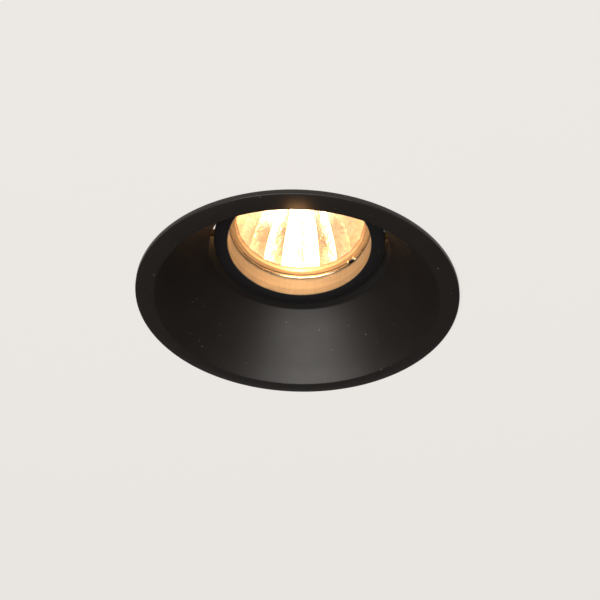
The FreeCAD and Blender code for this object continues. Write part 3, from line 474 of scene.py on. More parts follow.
def addLight(kind, name, spot, watts, colour):
    bpy.ops.object.light_add(type=kind, location=spot)
    lamp = bpy.context.object
    lamp.name = name
    lamp.data.energy = watts
    lamp.data.color = colour
    return lamp


def setStage():
    clearSelection()
    bpy.ops.mesh.primitive_circle_add(
        vertices=160, radius=ceiling["hole"] * mm, location=(0, 0, ceiling["height"] * mm)
    )
    board = settle("ceilingBoard")
    edit(board)
    bpy.ops.mesh.extrude_region_move()
    scale = ceiling["size"] / ceiling["hole"]
    bpy.ops.transform.resize(value=(scale, scale, 1), center_override=(0, 0, 0))
    outwards(board)
    paint = Paint("paintedBoard")
    spot = paint.spot()
    cloud = paint.noise(spot, 0.03, 4.0)
    grain = paint.noise(spot, 1.6, 3.0)
    tone = ceiling["tone"]
    paint.feed(colour=paint.mix(cloud, *shade(tone, 0.985, 1.01)), roughness=0.9)
    paint.bump(grain, 0.05)
    paleGlow(paint, tone, ceiling["shadowShare"])
    board.data.materials.append(paint.material)

    world = bpy.data.worlds.new("paleRoom")
    bpy.context.scene.world = world
    world.use_nodes = True
    tree = world.node_tree
    path = tree.nodes.new("ShaderNodeLightPath")
    near, far = tree.nodes["Background"], tree.nodes.new("ShaderNodeBackground")
    for sky, tone, strength in ((near, studio["skyTone"], studio["sky"]), (far, ceiling["tone"], 1.0)):
        sky.inputs["Color"].default_value = (*tone, 1)
        sky.inputs["Strength"].default_value = strength
    both = tree.nodes.new("ShaderNodeMixShader")
    tree.links.new(path.outputs["Is Camera Ray"], both.inputs[0])
    tree.links.new(near.outputs[0], both.inputs[1])
    tree.links.new(far.outputs[0], both.inputs[2])
    tree.links.new(both.outputs[0], tree.nodes["World Output"].inputs["Surface"])

    for name, spot, size, watts, colour in lights:
        lamp = addLight("AREA", name, Vector(spot), watts, colour)
        lamp.data.shape = "RECTANGLE"
        lamp.data.size, lamp.data.size_y = size
        lamp.rotation_euler = (-Vector(spot)).to_track_quat("-Z", "Y").to_euler()
    for name, spot, radius, watts in lampSpill:
        lamp = addLight("POINT", name, Vector(spot) * mm, watts, lampTone)
        lamp.data.shadow_soft_size = radius * mm
    bpy.context.scene.view_settings.view_transform = "Standard"
    print("camera, ceiling and lights are set")


setCamera()
setStage()


# materials

def blackCoat(name, tone, roughness, peel, ring=False):
    # satin powder coat: orange peel, faint cloudiness, a little dust, and on the trim painted shade inside the
    # collar
    paint = Paint(name)
    spot = paint.spot()
    cloud = paint.noise(spot, 0.09, 4.0)
    fine = paint.noise(spot, 2.6, 2.0)
    dust = paint.specks(spot, 0.30, 0.075) * paint.noise(spot, 0.21).part(0.44, 0.58)
    base = paint.mix(cloud, *shade(tone, 0.8, 1.25))
    colour = paint.mix(dust, base, (0.20, 0.16, 0.12))
    rough = roughness + (cloud - 0.5) * 0.10 + dust * 0.3
    paint.feed(colour=colour, roughness=rough, metallic=0.0, ior=1.46)
    if not ring:
        # rougher coat inside the collar, with painted shade: the colour there is halved
        _, _, height = paint.axes(spot)
        inside = height.part(20.3, 20.9) * (1 - paint.radius(spot).part(32.4, 33.0))
        paint.feed(roughness=rough + inside * 0.45, colour=paint.mix(inside, colour, *shade(tone, 0.5)))
        paint.bump(fine, peel)
        return paint.material
    # inside the bore the ring is bare machined metal
    lamp = paint.lampSpot()
    bore = paint.radius(lamp)
    _, _, height = paint.axes(lamp)
    bare = 1 - bore.part(25.50, 25.62)
    turnLines = paint.noise(paint.node("ShaderNodeCombineXYZ", inputs={0: height, 1: bore}), 5.5, 4.0, 0.7)
    streaks = paint.noise(paint.lampSpot((1.1, 1.1, 0.06)), 1.3, 3.0)
    metal = paint.mix(turnLines.part(0.3, 0.75), (0.23, 0.20, 0.165), (0.36, 0.325, 0.27))
    metal = paint.mix(streaks.part(0.50, 0.85) * 0.3, metal, (0.16, 0.135, 0.105))
    bareRough = bare * (0.50 + streaks * 0.16)
    paint.feed(colour=paint.mix(bare, colour, metal), metallic=bare, roughness=rough * (1 - bare) + bareRough)
    paint.bump(fine * (1 - bare) * peel + turnLines * bare * 0.012, 1.0)
    return paint.material


def platedSteel(name, tone, roughness=0.3, lines=0.5, stretch=(1, 1, 1), tarnish=(0.30, 0.27, 0.24)):
    # plated steel: drawn lines, small scuffs, a darker bloom
    paint = Paint(name)
    spot = paint.spot(stretch=stretch)
    plain = paint.spot()
    drawn = paint.noise(spot, 3.0, 4.0, 0.7)
    bloom = paint.noise(plain, 0.22, 4.0).part(0.48, 0.72)
    scuff = paint.noise(plain, 1.7, 5.0, 0.7).part(0.60, 0.70)
    colour = paint.mix(bloom * 0.45, tone, tarnish)
    colour = paint.mix(scuff * 0.3, colour, *shade(tone, 1.25))
    paint.feed(colour=colour, metallic=1.0, roughness=roughness + drawn * 0.14 * lines + scuff * 0.12)
    paint.bump(drawn, 0.008 * lines)
    return paint.material


def bowlWithPaintedGlow():
    # the lamp's coated bowl, with painted glow: its emission stands in for the burner's light reflected in the
    # bowl
    paint = Paint("coatedBowlPaintedGlow")
    lamp = paint.lampSpot()
    ripple = paint.noise(lamp, 0.45, 2.0)
    paintedGlowPatch = paint.noise(paint.lampSpot((1.0, 1.0, 0.25)), 0.22, 1.0).part(0.40, 0.62)
    haze = paint.noise(lamp, 0.16, 4.0)
    _, _, height = paint.axes(lamp)
    # painted glow, strongest round the burner deep in the bowl, in lighter and darker patches that stand in for
    # the burner's reflections
    deep = height.part(15.0, 31.0) ** 2.0
    inner = paint.mix(haze, (0.90, 0.76, 0.56), (0.97, 0.86, 0.70))
    paint.feed(
        colour=inner, metallic=1.0, roughness=0.10 + haze * 0.10,
        glow=paint.mix(deep, paint.mix(paintedGlowPatch, (0.040, 0.018, 0.006), (0.26, 0.17, 0.095)), (1.0, 0.70, 0.42)),
        glowStrength=0.85,
    )
    paint.bump(ripple, 0.16)
    return paint.material


def rimWithPaintedGlow():
    # the bowl's glass rim, with painted light: its amber colour and glow stand in for the light inside it
    paint = Paint("rimWithPaintedGlow")
    lamp = paint.lampSpot()
    swirl = paint.noise(lamp, 0.5, 4.0)
    paint.feed(
        colour=paint.mix(swirl, (0.62, 0.36, 0.16), (0.80, 0.52, 0.26)), metallic=0.6,
        roughness=0.18 + swirl * 0.12,
        glow=paint.mix(swirl, (1.0, 0.42, 0.12), (1.0, 0.58, 0.24)), glowStrength=0.24,
    )
    paint.bump(swirl, 0.04)
    return paint.material


def lampBack():
    # outside of the bowl: smooth pressed glass over the coating
    paint = Paint("bowlBack")
    lamp = paint.lampSpot()
    haze = paint.noise(lamp, 0.12, 5.0)
    spots = paint.noise(lamp, 1.2, 5.0).part(0.58, 0.7)
    colour = paint.mix(haze.part(0.35, 0.65), (0.55, 0.55, 0.60), (0.72, 0.71, 0.70))
    paint.feed(
        colour=paint.mix(spots * 0.25, colour, (0.38, 0.37, 0.38)), metallic=0.85,
        roughness=0.22 + spots * 0.12, coat=0.6, coatRoughness=0.08,
    )
    paint.bump(haze, 0.08)
    return paint.material


def clearGlass(name, alpha, roughness, tint=(1.0, 0.96, 0.88), glow=None):
    paint = Paint(name)
    lamp = paint.lampSpot()
    smear = paint.noise(lamp, 0.25, 5.0).part(0.45, 0.7)
    paint.feed(colour=tint, roughness=roughness + smear * 0.06, alpha=alpha + smear * 0.04, ior=1.5)
    if glow:
        paint.feed(glow=glow[0], glowStrength=glow[1])
    paint.bump(paint.noise(lamp, 0.4, 2.0), 0.02)
    return paint.material


def firedCeramic(name, tone, grain=0.03):
    paint = Paint(name)
    spot = paint.spot()
    cloud = paint.noise(spot, 0.16, 4.0)
    pits = paint.specks(spot, 1.1, 0.16)
    soot = paint.noise(spot, 0.5, 5.0).part(0.58, 0.78)
    colour = paint.mix(cloud, *shade(tone, 0.9, 1.0))
    colour = paint.mix(soot * 0.30, colour, (0.45, 0.38, 0.29))
    paint.feed(colour=paint.mix(pits * 0.5, colour, (0.30, 0.26, 0.21)), roughness=0.62 + cloud * 0.15)
    paint.bump(paint.noise(spot, 3.2, 3.0) - pits * 0.6, grain)
    return paint.material


def mouldedRubber(name, tone):
    paint = Paint(name)
    spot = paint.spot()
    cloud = paint.noise(spot, 0.2, 4.0)
    fine = paint.noise(spot, 4.5, 3.0)
    bloom = paint.noise(spot, 0.6, 5.0).part(0.55, 0.75)
    colour = paint.mix(cloud, *shade(tone, 0.8, 1.3))
    paint.feed(colour=paint.mix(bloom * 0.25, colour, (0.11, 0.105, 0.10)), roughness=0.62 + fine * 0.18)
    paint.bump(fine, 0.03)
    return paint.material


def litTungsten():
    paint = Paint("litTungsten")
    spot = paint.lampSpot()
    grain = paint.noise(spot, 4.0, 3.0)
    paint.feed(
        colour=(0.45, 0.4, 0.34), metallic=1.0, roughness=0.4,
        glow=paint.mix(grain, (1.0, 0.66, 0.34), (1.0, 0.78, 0.48)), glowStrength=60.0,
    )
    return paint.material


trimPaint = blackCoat("satinBlackTrim", (0.0082, 0.0062, 0.0051), 0.47, 0.045)
ringPaint = blackCoat("satinBlackRing", (0.0056, 0.0052, 0.0056), 0.40, 0.040, ring=True)
# the circlip is plain steel; its warm gold tone is painted lamp light
circlipPaint = platedSteel("steelWirePaintedLampTint", (0.95, 0.76, 0.50), 0.20, 0.4)
paintedGlowBowlPaint = bowlWithPaintedGlow()
bowlBackPaint = lampBack()
rimPaint = rimWithPaintedGlow()
glassPaint = clearGlass("frontGlass", 0.05, 0.03)
quartzPaint = clearGlass("litQuartz", 0.80, 0.25, (1.0, 0.95, 0.86), ((1.0, 0.64, 0.34), 12.0))
tungstenPaint = litTungsten()
capPaint = firedCeramic("lampCeramic", (0.80, 0.77, 0.71))
holderPaint = firedCeramic("holderCeramic", (0.86, 0.85, 0.81), 0.02)
coverPaint = firedCeramic("holderCover", (0.78, 0.77, 0.73), 0.015)
pinPaint = platedSteel("nickelPins", (0.62, 0.62, 0.61), 0.24, 0.3)
contactPaint = platedSteel("bronzeStrip", (0.72, 0.50, 0.26), 0.28, 0.6, (1, 1, 0.15), (0.33, 0.19, 0.10))
pivotPaint = platedSteel("yellowZinc", (0.36, 0.25, 0.12), 0.36, 0.4)
screwPaint = platedSteel("zincScrews", (0.60, 0.60, 0.61), 0.30, 0.4)
washerPaint = mouldedRubber("blackNylon", (0.03, 0.03, 0.033))
clipPaint = platedSteel("zincSheet", (0.60, 0.61, 0.63), 0.28, 0.8, (0.12, 1, 1), (0.34, 0.33, 0.33))
springPaint = platedSteel("springWire", (0.50, 0.51, 0.54), 0.22, 0.3)
sleevePaint = mouldedRubber("softSleeve", (0.035, 0.035, 0.04))
print("materials are mixed")


# cast trim

trim = {
    "flange": 55.0, "edge": 1.9, "spigot": 49.2, "spigotHeight": 3.0, "lip": 48.6, "lipDepth": 2.72,
    "opening": 32.1, "openingHeight": 20.3, "collar": 34.1, "collarTop": 35.6, "skin": 1.9686, "slope": 0.716768,
    "lugInner": 6.9, "lugOuter": 9.0, "lugRadius": 3.5, "lugFoot": 2.0,
    "bossRadius": 4.6, "bossFace": 36.0, "bossFoot": 33.1, "screwHole": 1.55, "pinHole": 1.55,
    "rib": 1.8, "ribHeight": 2.0, "ribBend": 20.26, "ribTop": 30.6, "ribInside": 33.2,
}


def coneInside(height):
    return trim["lip"] - (height + trim["lipDepth"]) * trim["slope"]


def coneOutside(height):
    return coneInside(height) + trim["skin"]


def coneHeight(radius):
    # height at which the cone's outer face has this radius
    return (trim["lip"] + trim["skin"] - radius) / trim["slope"] - trim["lipDepth"]


def trimShell():
    shoulder = trim["spigotHeight"]
    profile = [
        (trim["flange"], 0), (trim["flange"], -trim["edge"]), (51.8, -2.31), (trim["lip"], -trim["lipDepth"]),
        (44.5, 3.0), (40.4, 8.72), (36.2, 14.58), (trim["opening"], trim["openingHeight"]),
        (trim["opening"], 28), (trim["opening"], trim["collarTop"]), (trim["collar"], trim["collarTop"]),
        (trim["collar"], 28), (trim["collar"], coneHeight(trim["collar"])), (40.3, coneHeight(40.3)),
        (coneOutside(shoulder), shoulder), (trim["spigot"], shoulder), (trim["spigot"], 0),
    ]
    shell = lathe("baffleTrim", profile, 192)
    return soften(shell, 0.35, 3, 20)


def clipLug(side):
    near, far = sorted((side * trim["lugInner"], side * trim["lugOuter"]))
    x, top = clipPin["x"], clipPin["z"] + trim["lugRadius"]
    lug = block((26, near, trim["lugFoot"]), (x + trim["lugRadius"], far, top))
    roundEdges(lug, lambda a, b: min(a.x, b.x) > 40 and min(a.z, b.z) > 10, trim["lugRadius"], 12)
    # the back of the lug follows the cone, inside its wall
    edit(lug)
    middle = coneInside(10) + 0.3
    bpy.ops.mesh.bisect(
        plane_co=Vector((middle, 0, 10)) * mm, plane_no=(1, 0, trim["slope"]), use_fill=True, clear_inner=True
    )
    done()
    outwards(lug)
    cut(lug, rod(trim["pinHole"], near - 1, far + 1, "Y", (x, clipPin["z"]), 40))
    return soften(lug, 0.3, 2, 50)


def coneRib():
    # a slim block on the cone, extruded up in steps that lean in with the wall
    def inWall(height):
        return coneInside(height) + 0.6
    foot, inner = trim["lugFoot"], trim["ribInside"]
    left, right, height = inWall(foot), coneOutside(3) + trim["ribHeight"], foot
    rib = block((left, -trim["rib"] / 2, foot - 0.5), (right, trim["rib"] / 2, foot))
    choose(rib, lambda centre, normal: normal.z > 0.9)
    outer = trim["collar"] + trim["ribHeight"]
    stations = [
        (3.0, inWall(3), right), (trim["ribBend"], inner, outer), (trim["ribTop"] - 2, inner, outer),
        (trim["ribTop"], inner, inner + 0.25),
    ]
    for nextHeight, nextLeft, nextRight in stations:
        extrudeBy(0, 0, nextHeight - height)
        moveBy((nextLeft + nextRight - left - right) / 2, 0, 0)
        grow = (nextRight - nextLeft) / (right - left)
        middle = Vector(((nextLeft + nextRight) / 2, 0, nextHeight)) * mm
        bpy.ops.transform.resize(value=(grow, 1, 1), center_override=middle)
        left, right, height = nextLeft, nextRight, nextHeight
    done()
    return outwards(rib)


def buildTrim():
    shell = trimShell()
    rib = coneRib()
    parts = [copyTurned(rib, 30 + 60 * n) for n in range(6)]
    bpy.data.objects.remove(rib)
    for side in (-1, 1):
        lug = clipLug(side)
        parts += [lug, copyTurned(lug, 180)]
    for side in (-1, 1):
        ends = sorted((side * trim["bossFoot"], side * trim["bossFace"]))
        boss = rod(trim["bossRadius"], *ends, "X", (0, tilt["height"]), 64)
        parts.append(soften(boss, 0.25, 2, 50))
    castings = join("castings", *parts)
    cut(shell, castings, operation="UNION")
    for side in (-1, 1):
        ends = sorted((side * (trim["opening"] - 3.1), side * (trim["bossFace"] + 2)))
        cut(shell, rod(trim["screwHole"], *ends, "X", (0, tilt["height"]), 40))
    finishPiece(shell, trimPaint, "trim", "trim_black", "baffle_trim", 32)
    print("trim is cast")


buildTrim()


# tilting ring, its screws and the circlip

ring = {
    "bore": 25.4, "radius": 30.3, "hub": 29.3, "lipBore": 24.1, "face": -5.7, "brimBack": -3.7, "back": 9.0,
    "lipFront": 6.9, "groove": 26.5, "grooveLow": 2.73, "grooveHigh": 4.43,
}


def buildRing():
    bore, radius, hub, groove = ring["bore"], ring["radius"], ring["hub"], ring["groove"]
    profile = [
        (bore, ring["face"]), (radius, ring["face"]), (radius, ring["brimBack"]), (hub, ring["brimBack"]),
        (hub, 0), (hub, ring["back"]), (ring["lipBore"], ring["back"]), (ring["lipBore"], ring["lipFront"]),
        (bore, ring["lipFront"]), (bore, ring["grooveHigh"]), (groove, ring["grooveHigh"]),
        (groove, ring["grooveLow"]), (bore, ring["grooveLow"]), (bore, -1.5),
    ]
    piece = lathe("gimbalRing", profile, 192)
    soften(piece, 0.16, 2, 40)
    for side in (-1, 1):
        ends = sorted((side * (pivotScrew["start"] - 0.05), side * (ring["radius"] + 0.7)))
        cut(piece, rod(trim["screwHole"], *ends, "X", (0, 0), 40))
    finishHead(piece, ringPaint, "tilting_head", "ring_black", "gimbal_ring", 32)


pivotScrew = {
    "start": 26.4, "shank": 1.5, "head": 36.92, "headRadius": 2.9, "headHeight": 2.0, "socket": 1.15,
    "socketDepth": 1.1, "pitch": 0.5,
}


def buildPivotScrews():
    screw = pivotScrew
    shank, under, head = screw["shank"], screw["head"], screw["headRadius"]
    top = under + screw["headHeight"]
    profile = [(shank - 0.35, screw["start"])]
    turn = screw["start"] + 0.35
    while turn < under - 3.2:
        profile += [(shank, turn), (shank - 0.22, turn + screw["pitch"] / 2)]
        turn += screw["pitch"]
    profile += [(shank, turn), (shank, under), (head, under), (head, top - 0.3), (head - 0.3, top)]
    piece = lathe("pivotScrews", profile, 40, closed=False)
    clearSelection()
    bpy.ops.mesh.primitive_cylinder_add(
        vertices=6, radius=screw["socket"] * mm, depth=screw["socketDepth"] * 2 * mm, location=(0, 0, top * mm)
    )
    cut(piece, settle())
    place(piece, Matrix.Rotation(math.radians(90), 4, "Y"))
    piece = withTwin(piece)
    finishHead(piece, pivotPaint, "tilting_head", "screws", "pivot_screws", 35)


washer = {"bore": 1.55, "radius": 3.6, "start": 36.06, "end": 36.86}


def buildWashers():
    w = washer
    profile = [(w["bore"], w["start"]), (w["radius"], w["start"]), (w["radius"], w["end"]), (w["bore"], w["end"])]
    piece = soften(lathe("pivotWashers", profile, 48), 0.12, 2, 50)
    place(piece, Matrix.Rotation(math.radians(90), 4, "Y"))
    piece = withTwin(piece)
    finishHead(piece, washerPaint, "tilting_head", "washers", "pivot_washers", 35)


circlip = {"radius": 25.65, "wire": 1.5, "height": 3.58, "side": 41.0, "split": 11.0, "tail": 1.5, "bend": 0.85}


def buildCirclip():
    # a round wire section carried round the groove, then bent in at both ends
    clip = circlip
    start = clip["side"] + clip["split"] / 2
    spot = (clip["radius"], 0, clip["height"])
    wire = wireStart("lampCirclip", clip["wire"], spot, 14, (math.pi / 2, 0, 0))
    edit(wire)
    sweepArc(wire, (0, 0, clip["height"]), "Z", 360 - clip["split"], 116)
    angle = math.radians(-clip["split"])
    inner, straight = clip["radius"] - clip["bend"], clip["tail"] - clip["bend"]
    sweepArc(wire, (inner * math.cos(angle), inner * math.sin(angle), clip["height"]), "Z", 90, 6)
    extrudeBy(-math.cos(angle) * straight, -math.sin(angle) * straight, 0)
    done()
    choose(wire, lambda co: abs(co.y) < 0.001 and co.x > 20, "VERT")
    sweepArc(wire, (inner, 0, clip["height"]), "Z", -90, 6)
    extrudeBy(-straight, 0, 0)
    closeEnds(wire)
    soften(wire, 0.18, 2, 60)
    place(wire, lampFrame @ Matrix.Rotation(math.radians(start), 4, "Z"))
    finishPiece(wire, circlipPaint, "tilting_head", "circlip_steel", "lamp_circlip", 40)


buildRing()
buildPivotScrews()
buildWashers()
buildCirclip()
print("ring, screws, washers and circlip are made")


# reflector lamp

lamp = {
    "front": 4.40, "rim": 25.0, "rimHeight": 2.4, "mouth": 23.8, "neck": 12.4, "depth": 29.0, "neckLength": 4.0,
    "wall": 1.8, "floor": 26.0, "facets": 20, "rows": 14, "neckBore": 5.4, "glass": 23.3,
    "seat": 1.85, "edgeWall": 0.65,
    "glassFront": 4.65, "glassBack": 6.15,
}


def bowlOutside(depth):
    return lamp["mouth"] - (lamp["mouth"] - lamp["neck"]) * (depth / lamp["depth"]) ** 2


def buildReflector():
    front, seat, floor, rimHeight = lamp["front"], lamp["seat"], lamp["floor"], lamp["rimHeight"]
    socket, back = lamp["glass"] + 0.1, front + lamp["depth"] + lamp["neckLength"]
    # the rim's inner edge, carried out and round the back to the neck's bore
    outer = [(socket, front), (lamp["rim"], front), (lamp["rim"], front + rimHeight)]
    for n in range(13):
        depth = rimHeight + (lamp["depth"] - rimHeight) * n / 12
        outer.append((bowlOutside(depth), front + depth))
    outer += [(lamp["neck"], back), (lamp["neckBore"], back), (lamp["neckBore"], front + floor + 0.2)]
    shell = stackRings("lampReflector", outer, 120)
    seatProfile = [(socket, front), (socket, front + seat), (lamp["glass"] - 0.05, front + seat)]
    seatRing = stackRings("glassSeat", seatProfile, 120)
    # flat wedges round the bowl, each smooth from mouth to neck
    rows = []
    for n in range(lamp["rows"] + 1):
        depth = seat + (floor - seat) * n / lamp["rows"]
        wall = lamp["edgeWall"] + (lamp["wall"] - lamp["edgeWall"]) * n / lamp["rows"]  # thinner at the rim
        rows.append((bowlOutside(depth) - wall, front + depth))
    rows.append((lamp["neckBore"] + 0.4, front + floor + 0.1))
    wedges = stackRings("facets", rows, lamp["facets"])
    piece = join("lampReflector", shell, seatRing, wedges)
    edit(piece)
    bpy.ops.mesh.remove_doubles(threshold=0.01 * mm)
    done()
    for low, high in ((seat - 0.01, seat + 0.01), (floor + 0.05, floor + 0.25)):
        bridgeBetween(piece, front + low, front + high)
    outwards(piece)
    paints = []
    for face in piece.data.polygons:
        centre = face.center / mm
        reach = math.hypot(centre.x, centre.y)
        depth = centre.z - front
        inside = depth > seat + 0.02 and reach < bowlOutside(depth) - 0.4 and depth < floor + 0.15
        paints.append(1 if inside else 2 if depth < seat + 0.02 and reach < lamp["rim"] - 0.01 else 0)
    finishHead(piece, bowlBackPaint, "tilting_head", "reflector", "lamp_reflector", 8)
    piece.data.materials.append(paintedGlowBowlPaint)
    piece.data.materials.append(rimPaint)
    for face, index in zip(piece.data.polygons, paints):
        face.material_index = index


def bridgeBetween(piece, low, high):
    # joins the two open edges that lie between two heights
    edit(piece, "DESELECT", "EDGE")
    bpy.ops.mesh.select_non_manifold()
    done()
    mesh = piece.data
    for edge in mesh.edges:
        if edge.select and not all(low < mesh.vertices[n].co.z / mm < high for n in edge.vertices):
            edge.select = False
    chosen = {n for edge in mesh.edges if edge.select for n in edge.vertices}
    for vertex in mesh.vertices:
        vertex.select = vertex.index in chosen
    bpy.ops.object.mode_set(mode="EDIT")
    bpy.ops.mesh.select_mode(type="EDGE")
    bpy.ops.mesh.bridge_edge_loops()
    done()


def buildFrontGlass():
    radius, front, back = lamp["glass"], lamp["glassFront"], lamp["glassBack"]
    profile = [(radius - 0.25, front), (radius, front + 0.25), (radius, back - 0.25), (radius - 0.25, back)]
    piece = lathe("frontGlass", profile, 120, closed=False)
    finishHead(piece, glassPaint, "tilting_head", "front_glass", "lamp_front_glass", 35)


capsule = {"radius": 4.6, "tip": 13.4, "end": 29.4, "dome": 1.8, "pinch": (8.0, 2.8, 10.5)}


def buildCapsule():
    c = capsule
    profile = [(0.35, c["tip"]), (0.9, c["tip"] + 0.12)]
    for n in range(1, 9):
        turn = math.radians(90 * n / 8)
        height = c["tip"] + 0.12 + c["dome"] * (1 - math.cos(turn))
        profile.append((0.9 + (c["radius"] - 0.9) * math.sin(turn), height))
    profile += [(c["radius"], c["end"] - 2.2), (c["radius"] - 0.5, c["end"] - 0.8), (c["radius"] - 1.5, c["end"])]
    piece = lathe("lampCapsule", profile, 48, closed=False)
    wide, thick, length = c["pinch"]
    seal = block((-wide / 2, -thick / 2, c["end"] - 0.9), (wide / 2, thick / 2, c["end"] + length))
    roundEdges(seal, lambda a, b: abs(a.z - b.z) > 5, 0.7, 3)
    for side in (-1, 1):
        cut(seal, block((-1.6, side * 2.2 - 1, c["end"] + 1.5), (1.6, side * 2.2 + 1, c["end"] + length - 1.5)))
    cut(piece, seal, operation="UNION")
    finishHead(piece, quartzPaint, "tilting_head", "quartz", "lamp_capsule", 35)


filament = {"radius": 0.78, "wire": 0.22, "start": 18.0, "length": 7.0, "turns": 11, "end": 27.6}


def buildFilament():
    f = filament
    wire = wireStart("lampFilament", f["wire"], (f["radius"], 0, f["end"]), 8)
    edit(wire)
    extrudeBy(0, 0, f["start"] + f["length"] + 0.3 - f["end"])
    sweepArc(wire, (0, 0, 0), "Z", 360 * f["turns"], 14 * f["turns"], -f["length"] - 0.3)
    closeEnds(wire)
    leg = rod(f["wire"] / 2, f["start"], f["end"], "Z", (-f["radius"] + 0.05, 0), 8)
    wire = join("lampFilament", wire, leg)
    finishHead(wire, tungstenPaint, "tilting_head", "filament", "lamp_filament", 50)


holder = {
    "front": 51.3, "back": 61.8, "halfLength": 17.5, "halfWidth": 10.0, "wall": 3.0, "chamberInner": 2.0,
    "chamberOuter": 8.7, "turn": 30.0, "margin": 34.0, "pinCircle": 5.0, "slot": 1.85, "door": 2.7,
    "screwAt": 14.0, "screwHole": 1.3, "coverFront": 61.82, "coverBack": 63.42, "lead": 1.7, "leadCircle": 5.4,
    "contact": 7.75, "contactWidth": 6.2, "contactHalf": 26, "screw": 1.25, "screwHead": 2.4, "slotTurn": 24,
}
cap = {
    "start": 34.4, "end": 50.9, "radius": 13.8, "shoulder": 6.0, "taper": 1.5, "neck": 12.5, "flat": 8.5,
    "flatLength": 8.5, "core": 7.2, "coreTop": 40.0, "seat": 3.1, "pinHole": 1.65, "pinDepth": 4.0,
}


def buildCap():
    c = cap
    core, floor, top = c["core"], c["start"] + c["seat"], c["coreTop"]
    profile = [
        (c["neck"], c["start"]), (c["radius"], c["start"]), (c["radius"], c["start"] + c["shoulder"]),
        (c["radius"] - c["taper"], c["end"]), (2.0, c["end"]),
        (2.0, top), (core, top), (core, floor), (c["neck"], floor),
    ]
    piece = lathe("lampCap", profile, 96)
    plug = rod(2.05, top + 0.02, c["end"], "Z", (0, 0), 96)
    cut(piece, plug, operation="UNION")
    for side in (-1, 1):
        wall = sorted((side * c["flat"], side * 20))
        cut(piece, block((-20, wall[0], c["end"] - c["flatLength"]), (20, wall[1], c["end"] + 1)))
    soften(piece, 0.35, 3, 40)
    for side in (-1, 1):
        spot = (side * holder["pinCircle"], 0)
        cut(piece, rod(c["pinHole"], c["end"] - c["pinDepth"] - 0.05, c["end"] + 1, "Z", spot, 32))
    finishHead(piece, capPaint, "tilting_head", "ceramic", "lamp_cap", 35)


studPin = {"radius": 1.6, "head": 2.45, "shoulder": 54.8, "end": 57.2}


def buildPins():
    shank, head, shoulder, back = (studPin[key] for key in ("radius", "head", "shoulder", "end"))
    profile = [
        (shank, cap["end"] - cap["pinDepth"]), (shank, shoulder - 0.4), (shank + 0.15, shoulder),
        (head - 0.15, shoulder), (head, shoulder + 0.2), (head, back - 0.9), (head - 0.25, back - 0.35),
        (head - 0.75, back),
    ]
    pin = lathe("lampPins", profile, 40, closed=False)
    place(pin, Matrix.Translation((holder["pinCircle"] * mm, 0, 0)))
    pin = withTwin(pin)
    finishHead(pin, pinPaint, "tilting_head", "lamp_pins", "lamp_pins", 40)


buildReflector()
buildFrontGlass()
buildCapsule()
buildFilament()
buildCap()
buildPins()
print("lamp is made")


# twist-lock lampholder

def stadium(name, low, high):
    h = holder
    piece = block((-h["halfLength"], -h["halfWidth"], low), (h["halfLength"], h["halfWidth"], high), name)
    roundEdges(piece, lambda a, b: abs(a.z - b.z) > 0.5, h["halfWidth"] - 0.001, 20)
    edit(piece)
    bpy.ops.mesh.remove_doubles(threshold=0.005 * mm)
    done()
    return outwards(piece)


def sectorTool(inner, outer, start, end, low, high):
    # a ring's piece: a flat section carried round the lamp's axis
    clearSelection()
    bpy.ops.mesh.primitive_plane_add(size=1)
    tool = bpy.context.object
    tool.rotation_euler = (math.pi / 2, 0, 0)
    tool.scale = ((outer - inner) * mm, (high - low) * mm, 1)
    tool.location = Vector(((inner + outer) / 2, 0, (low + high) / 2)) * mm
    settle()
    edit(tool)
    rotateBy(start, "Z", (0, 0, 0))
    sweepArc(tool, (0, 0, 0), "Z", end - start, max(4, int(abs(end - start) / 4)))
    return closeEnds(tool)


def pairOf(tool):
    return [tool, copyTurned(tool, 180)]


def buildHolder():
    h = holder
    piece = stadium("lampholderBody", h["front"], h["back"])
    soften(piece, 0.5, 3, 50)
    floor = h["front"] + h["wall"]
    low, high = h["front"] - 1, floor + 1
    sector = (-h["turn"] - h["margin"], h["margin"])
    cut(piece, *pairOf(sectorTool(h["chamberInner"], h["chamberOuter"], *sector, floor, h["back"] + 1)))
    cut(piece, *pairOf(rod(h["slot"], low, high, "Z", (h["pinCircle"], 0), 40)))
    near, far = h["pinCircle"] - h["slot"], h["pinCircle"] + h["slot"]
    cut(piece, *pairOf(sectorTool(near, far, -h["turn"], 0.5, low, high)))
    entry = math.radians(-h["turn"])
    door = (h["pinCircle"] * math.cos(entry), h["pinCircle"] * math.sin(entry))
    cut(piece, *pairOf(rod(h["door"], low, high, "Z", door, 48)))
    cut(piece, *pairOf(rod(h["screwHole"], h["back"] - 7.05, h["back"] + 1, "Z", (h["screwAt"], 0), 32)))
    finishHead(piece, holderPaint, "lampholder", "holder_ceramic", "lampholder_body", 30)


def buildCover():
    h = holder
    piece = stadium("lampholderCover", h["coverFront"], h["coverBack"])
    soften(piece, 0.3, 3, 50)
    half = math.radians(h["turn"] / 2)
    lead = (h["leadCircle"] * math.cos(half), -h["leadCircle"] * math.sin(half))
    cut(piece, *pairOf(rod(h["lead"], h["coverFront"] - 1, h["coverBack"] + 1, "Z", lead, 32)))
    cut(piece, *pairOf(rod(h["screwHole"], h["coverFront"] - 1, h["coverBack"] + 1, "Z", (h["screwAt"], 0), 32)))
    finishHead(piece, coverPaint, "lampholder", "holder_cover", "lampholder_cover", 30)


def buildContacts():
    h = holder
    middle, inner, low = -h["turn"] / 2, h["contact"], h["back"] - h["contactWidth"]
    sector = (middle - h["contactHalf"], middle + h["contactHalf"])
    strip = sectorTool(inner, inner + 0.5, *sector, low, h["back"])
    soften(strip, 0.1, 2, 50)
    strip = join("lampholderContacts", strip, copyTurned(strip, 180))
    finishHead(strip, contactPaint, "lampholder", "contacts", "lampholder_contacts", 30)


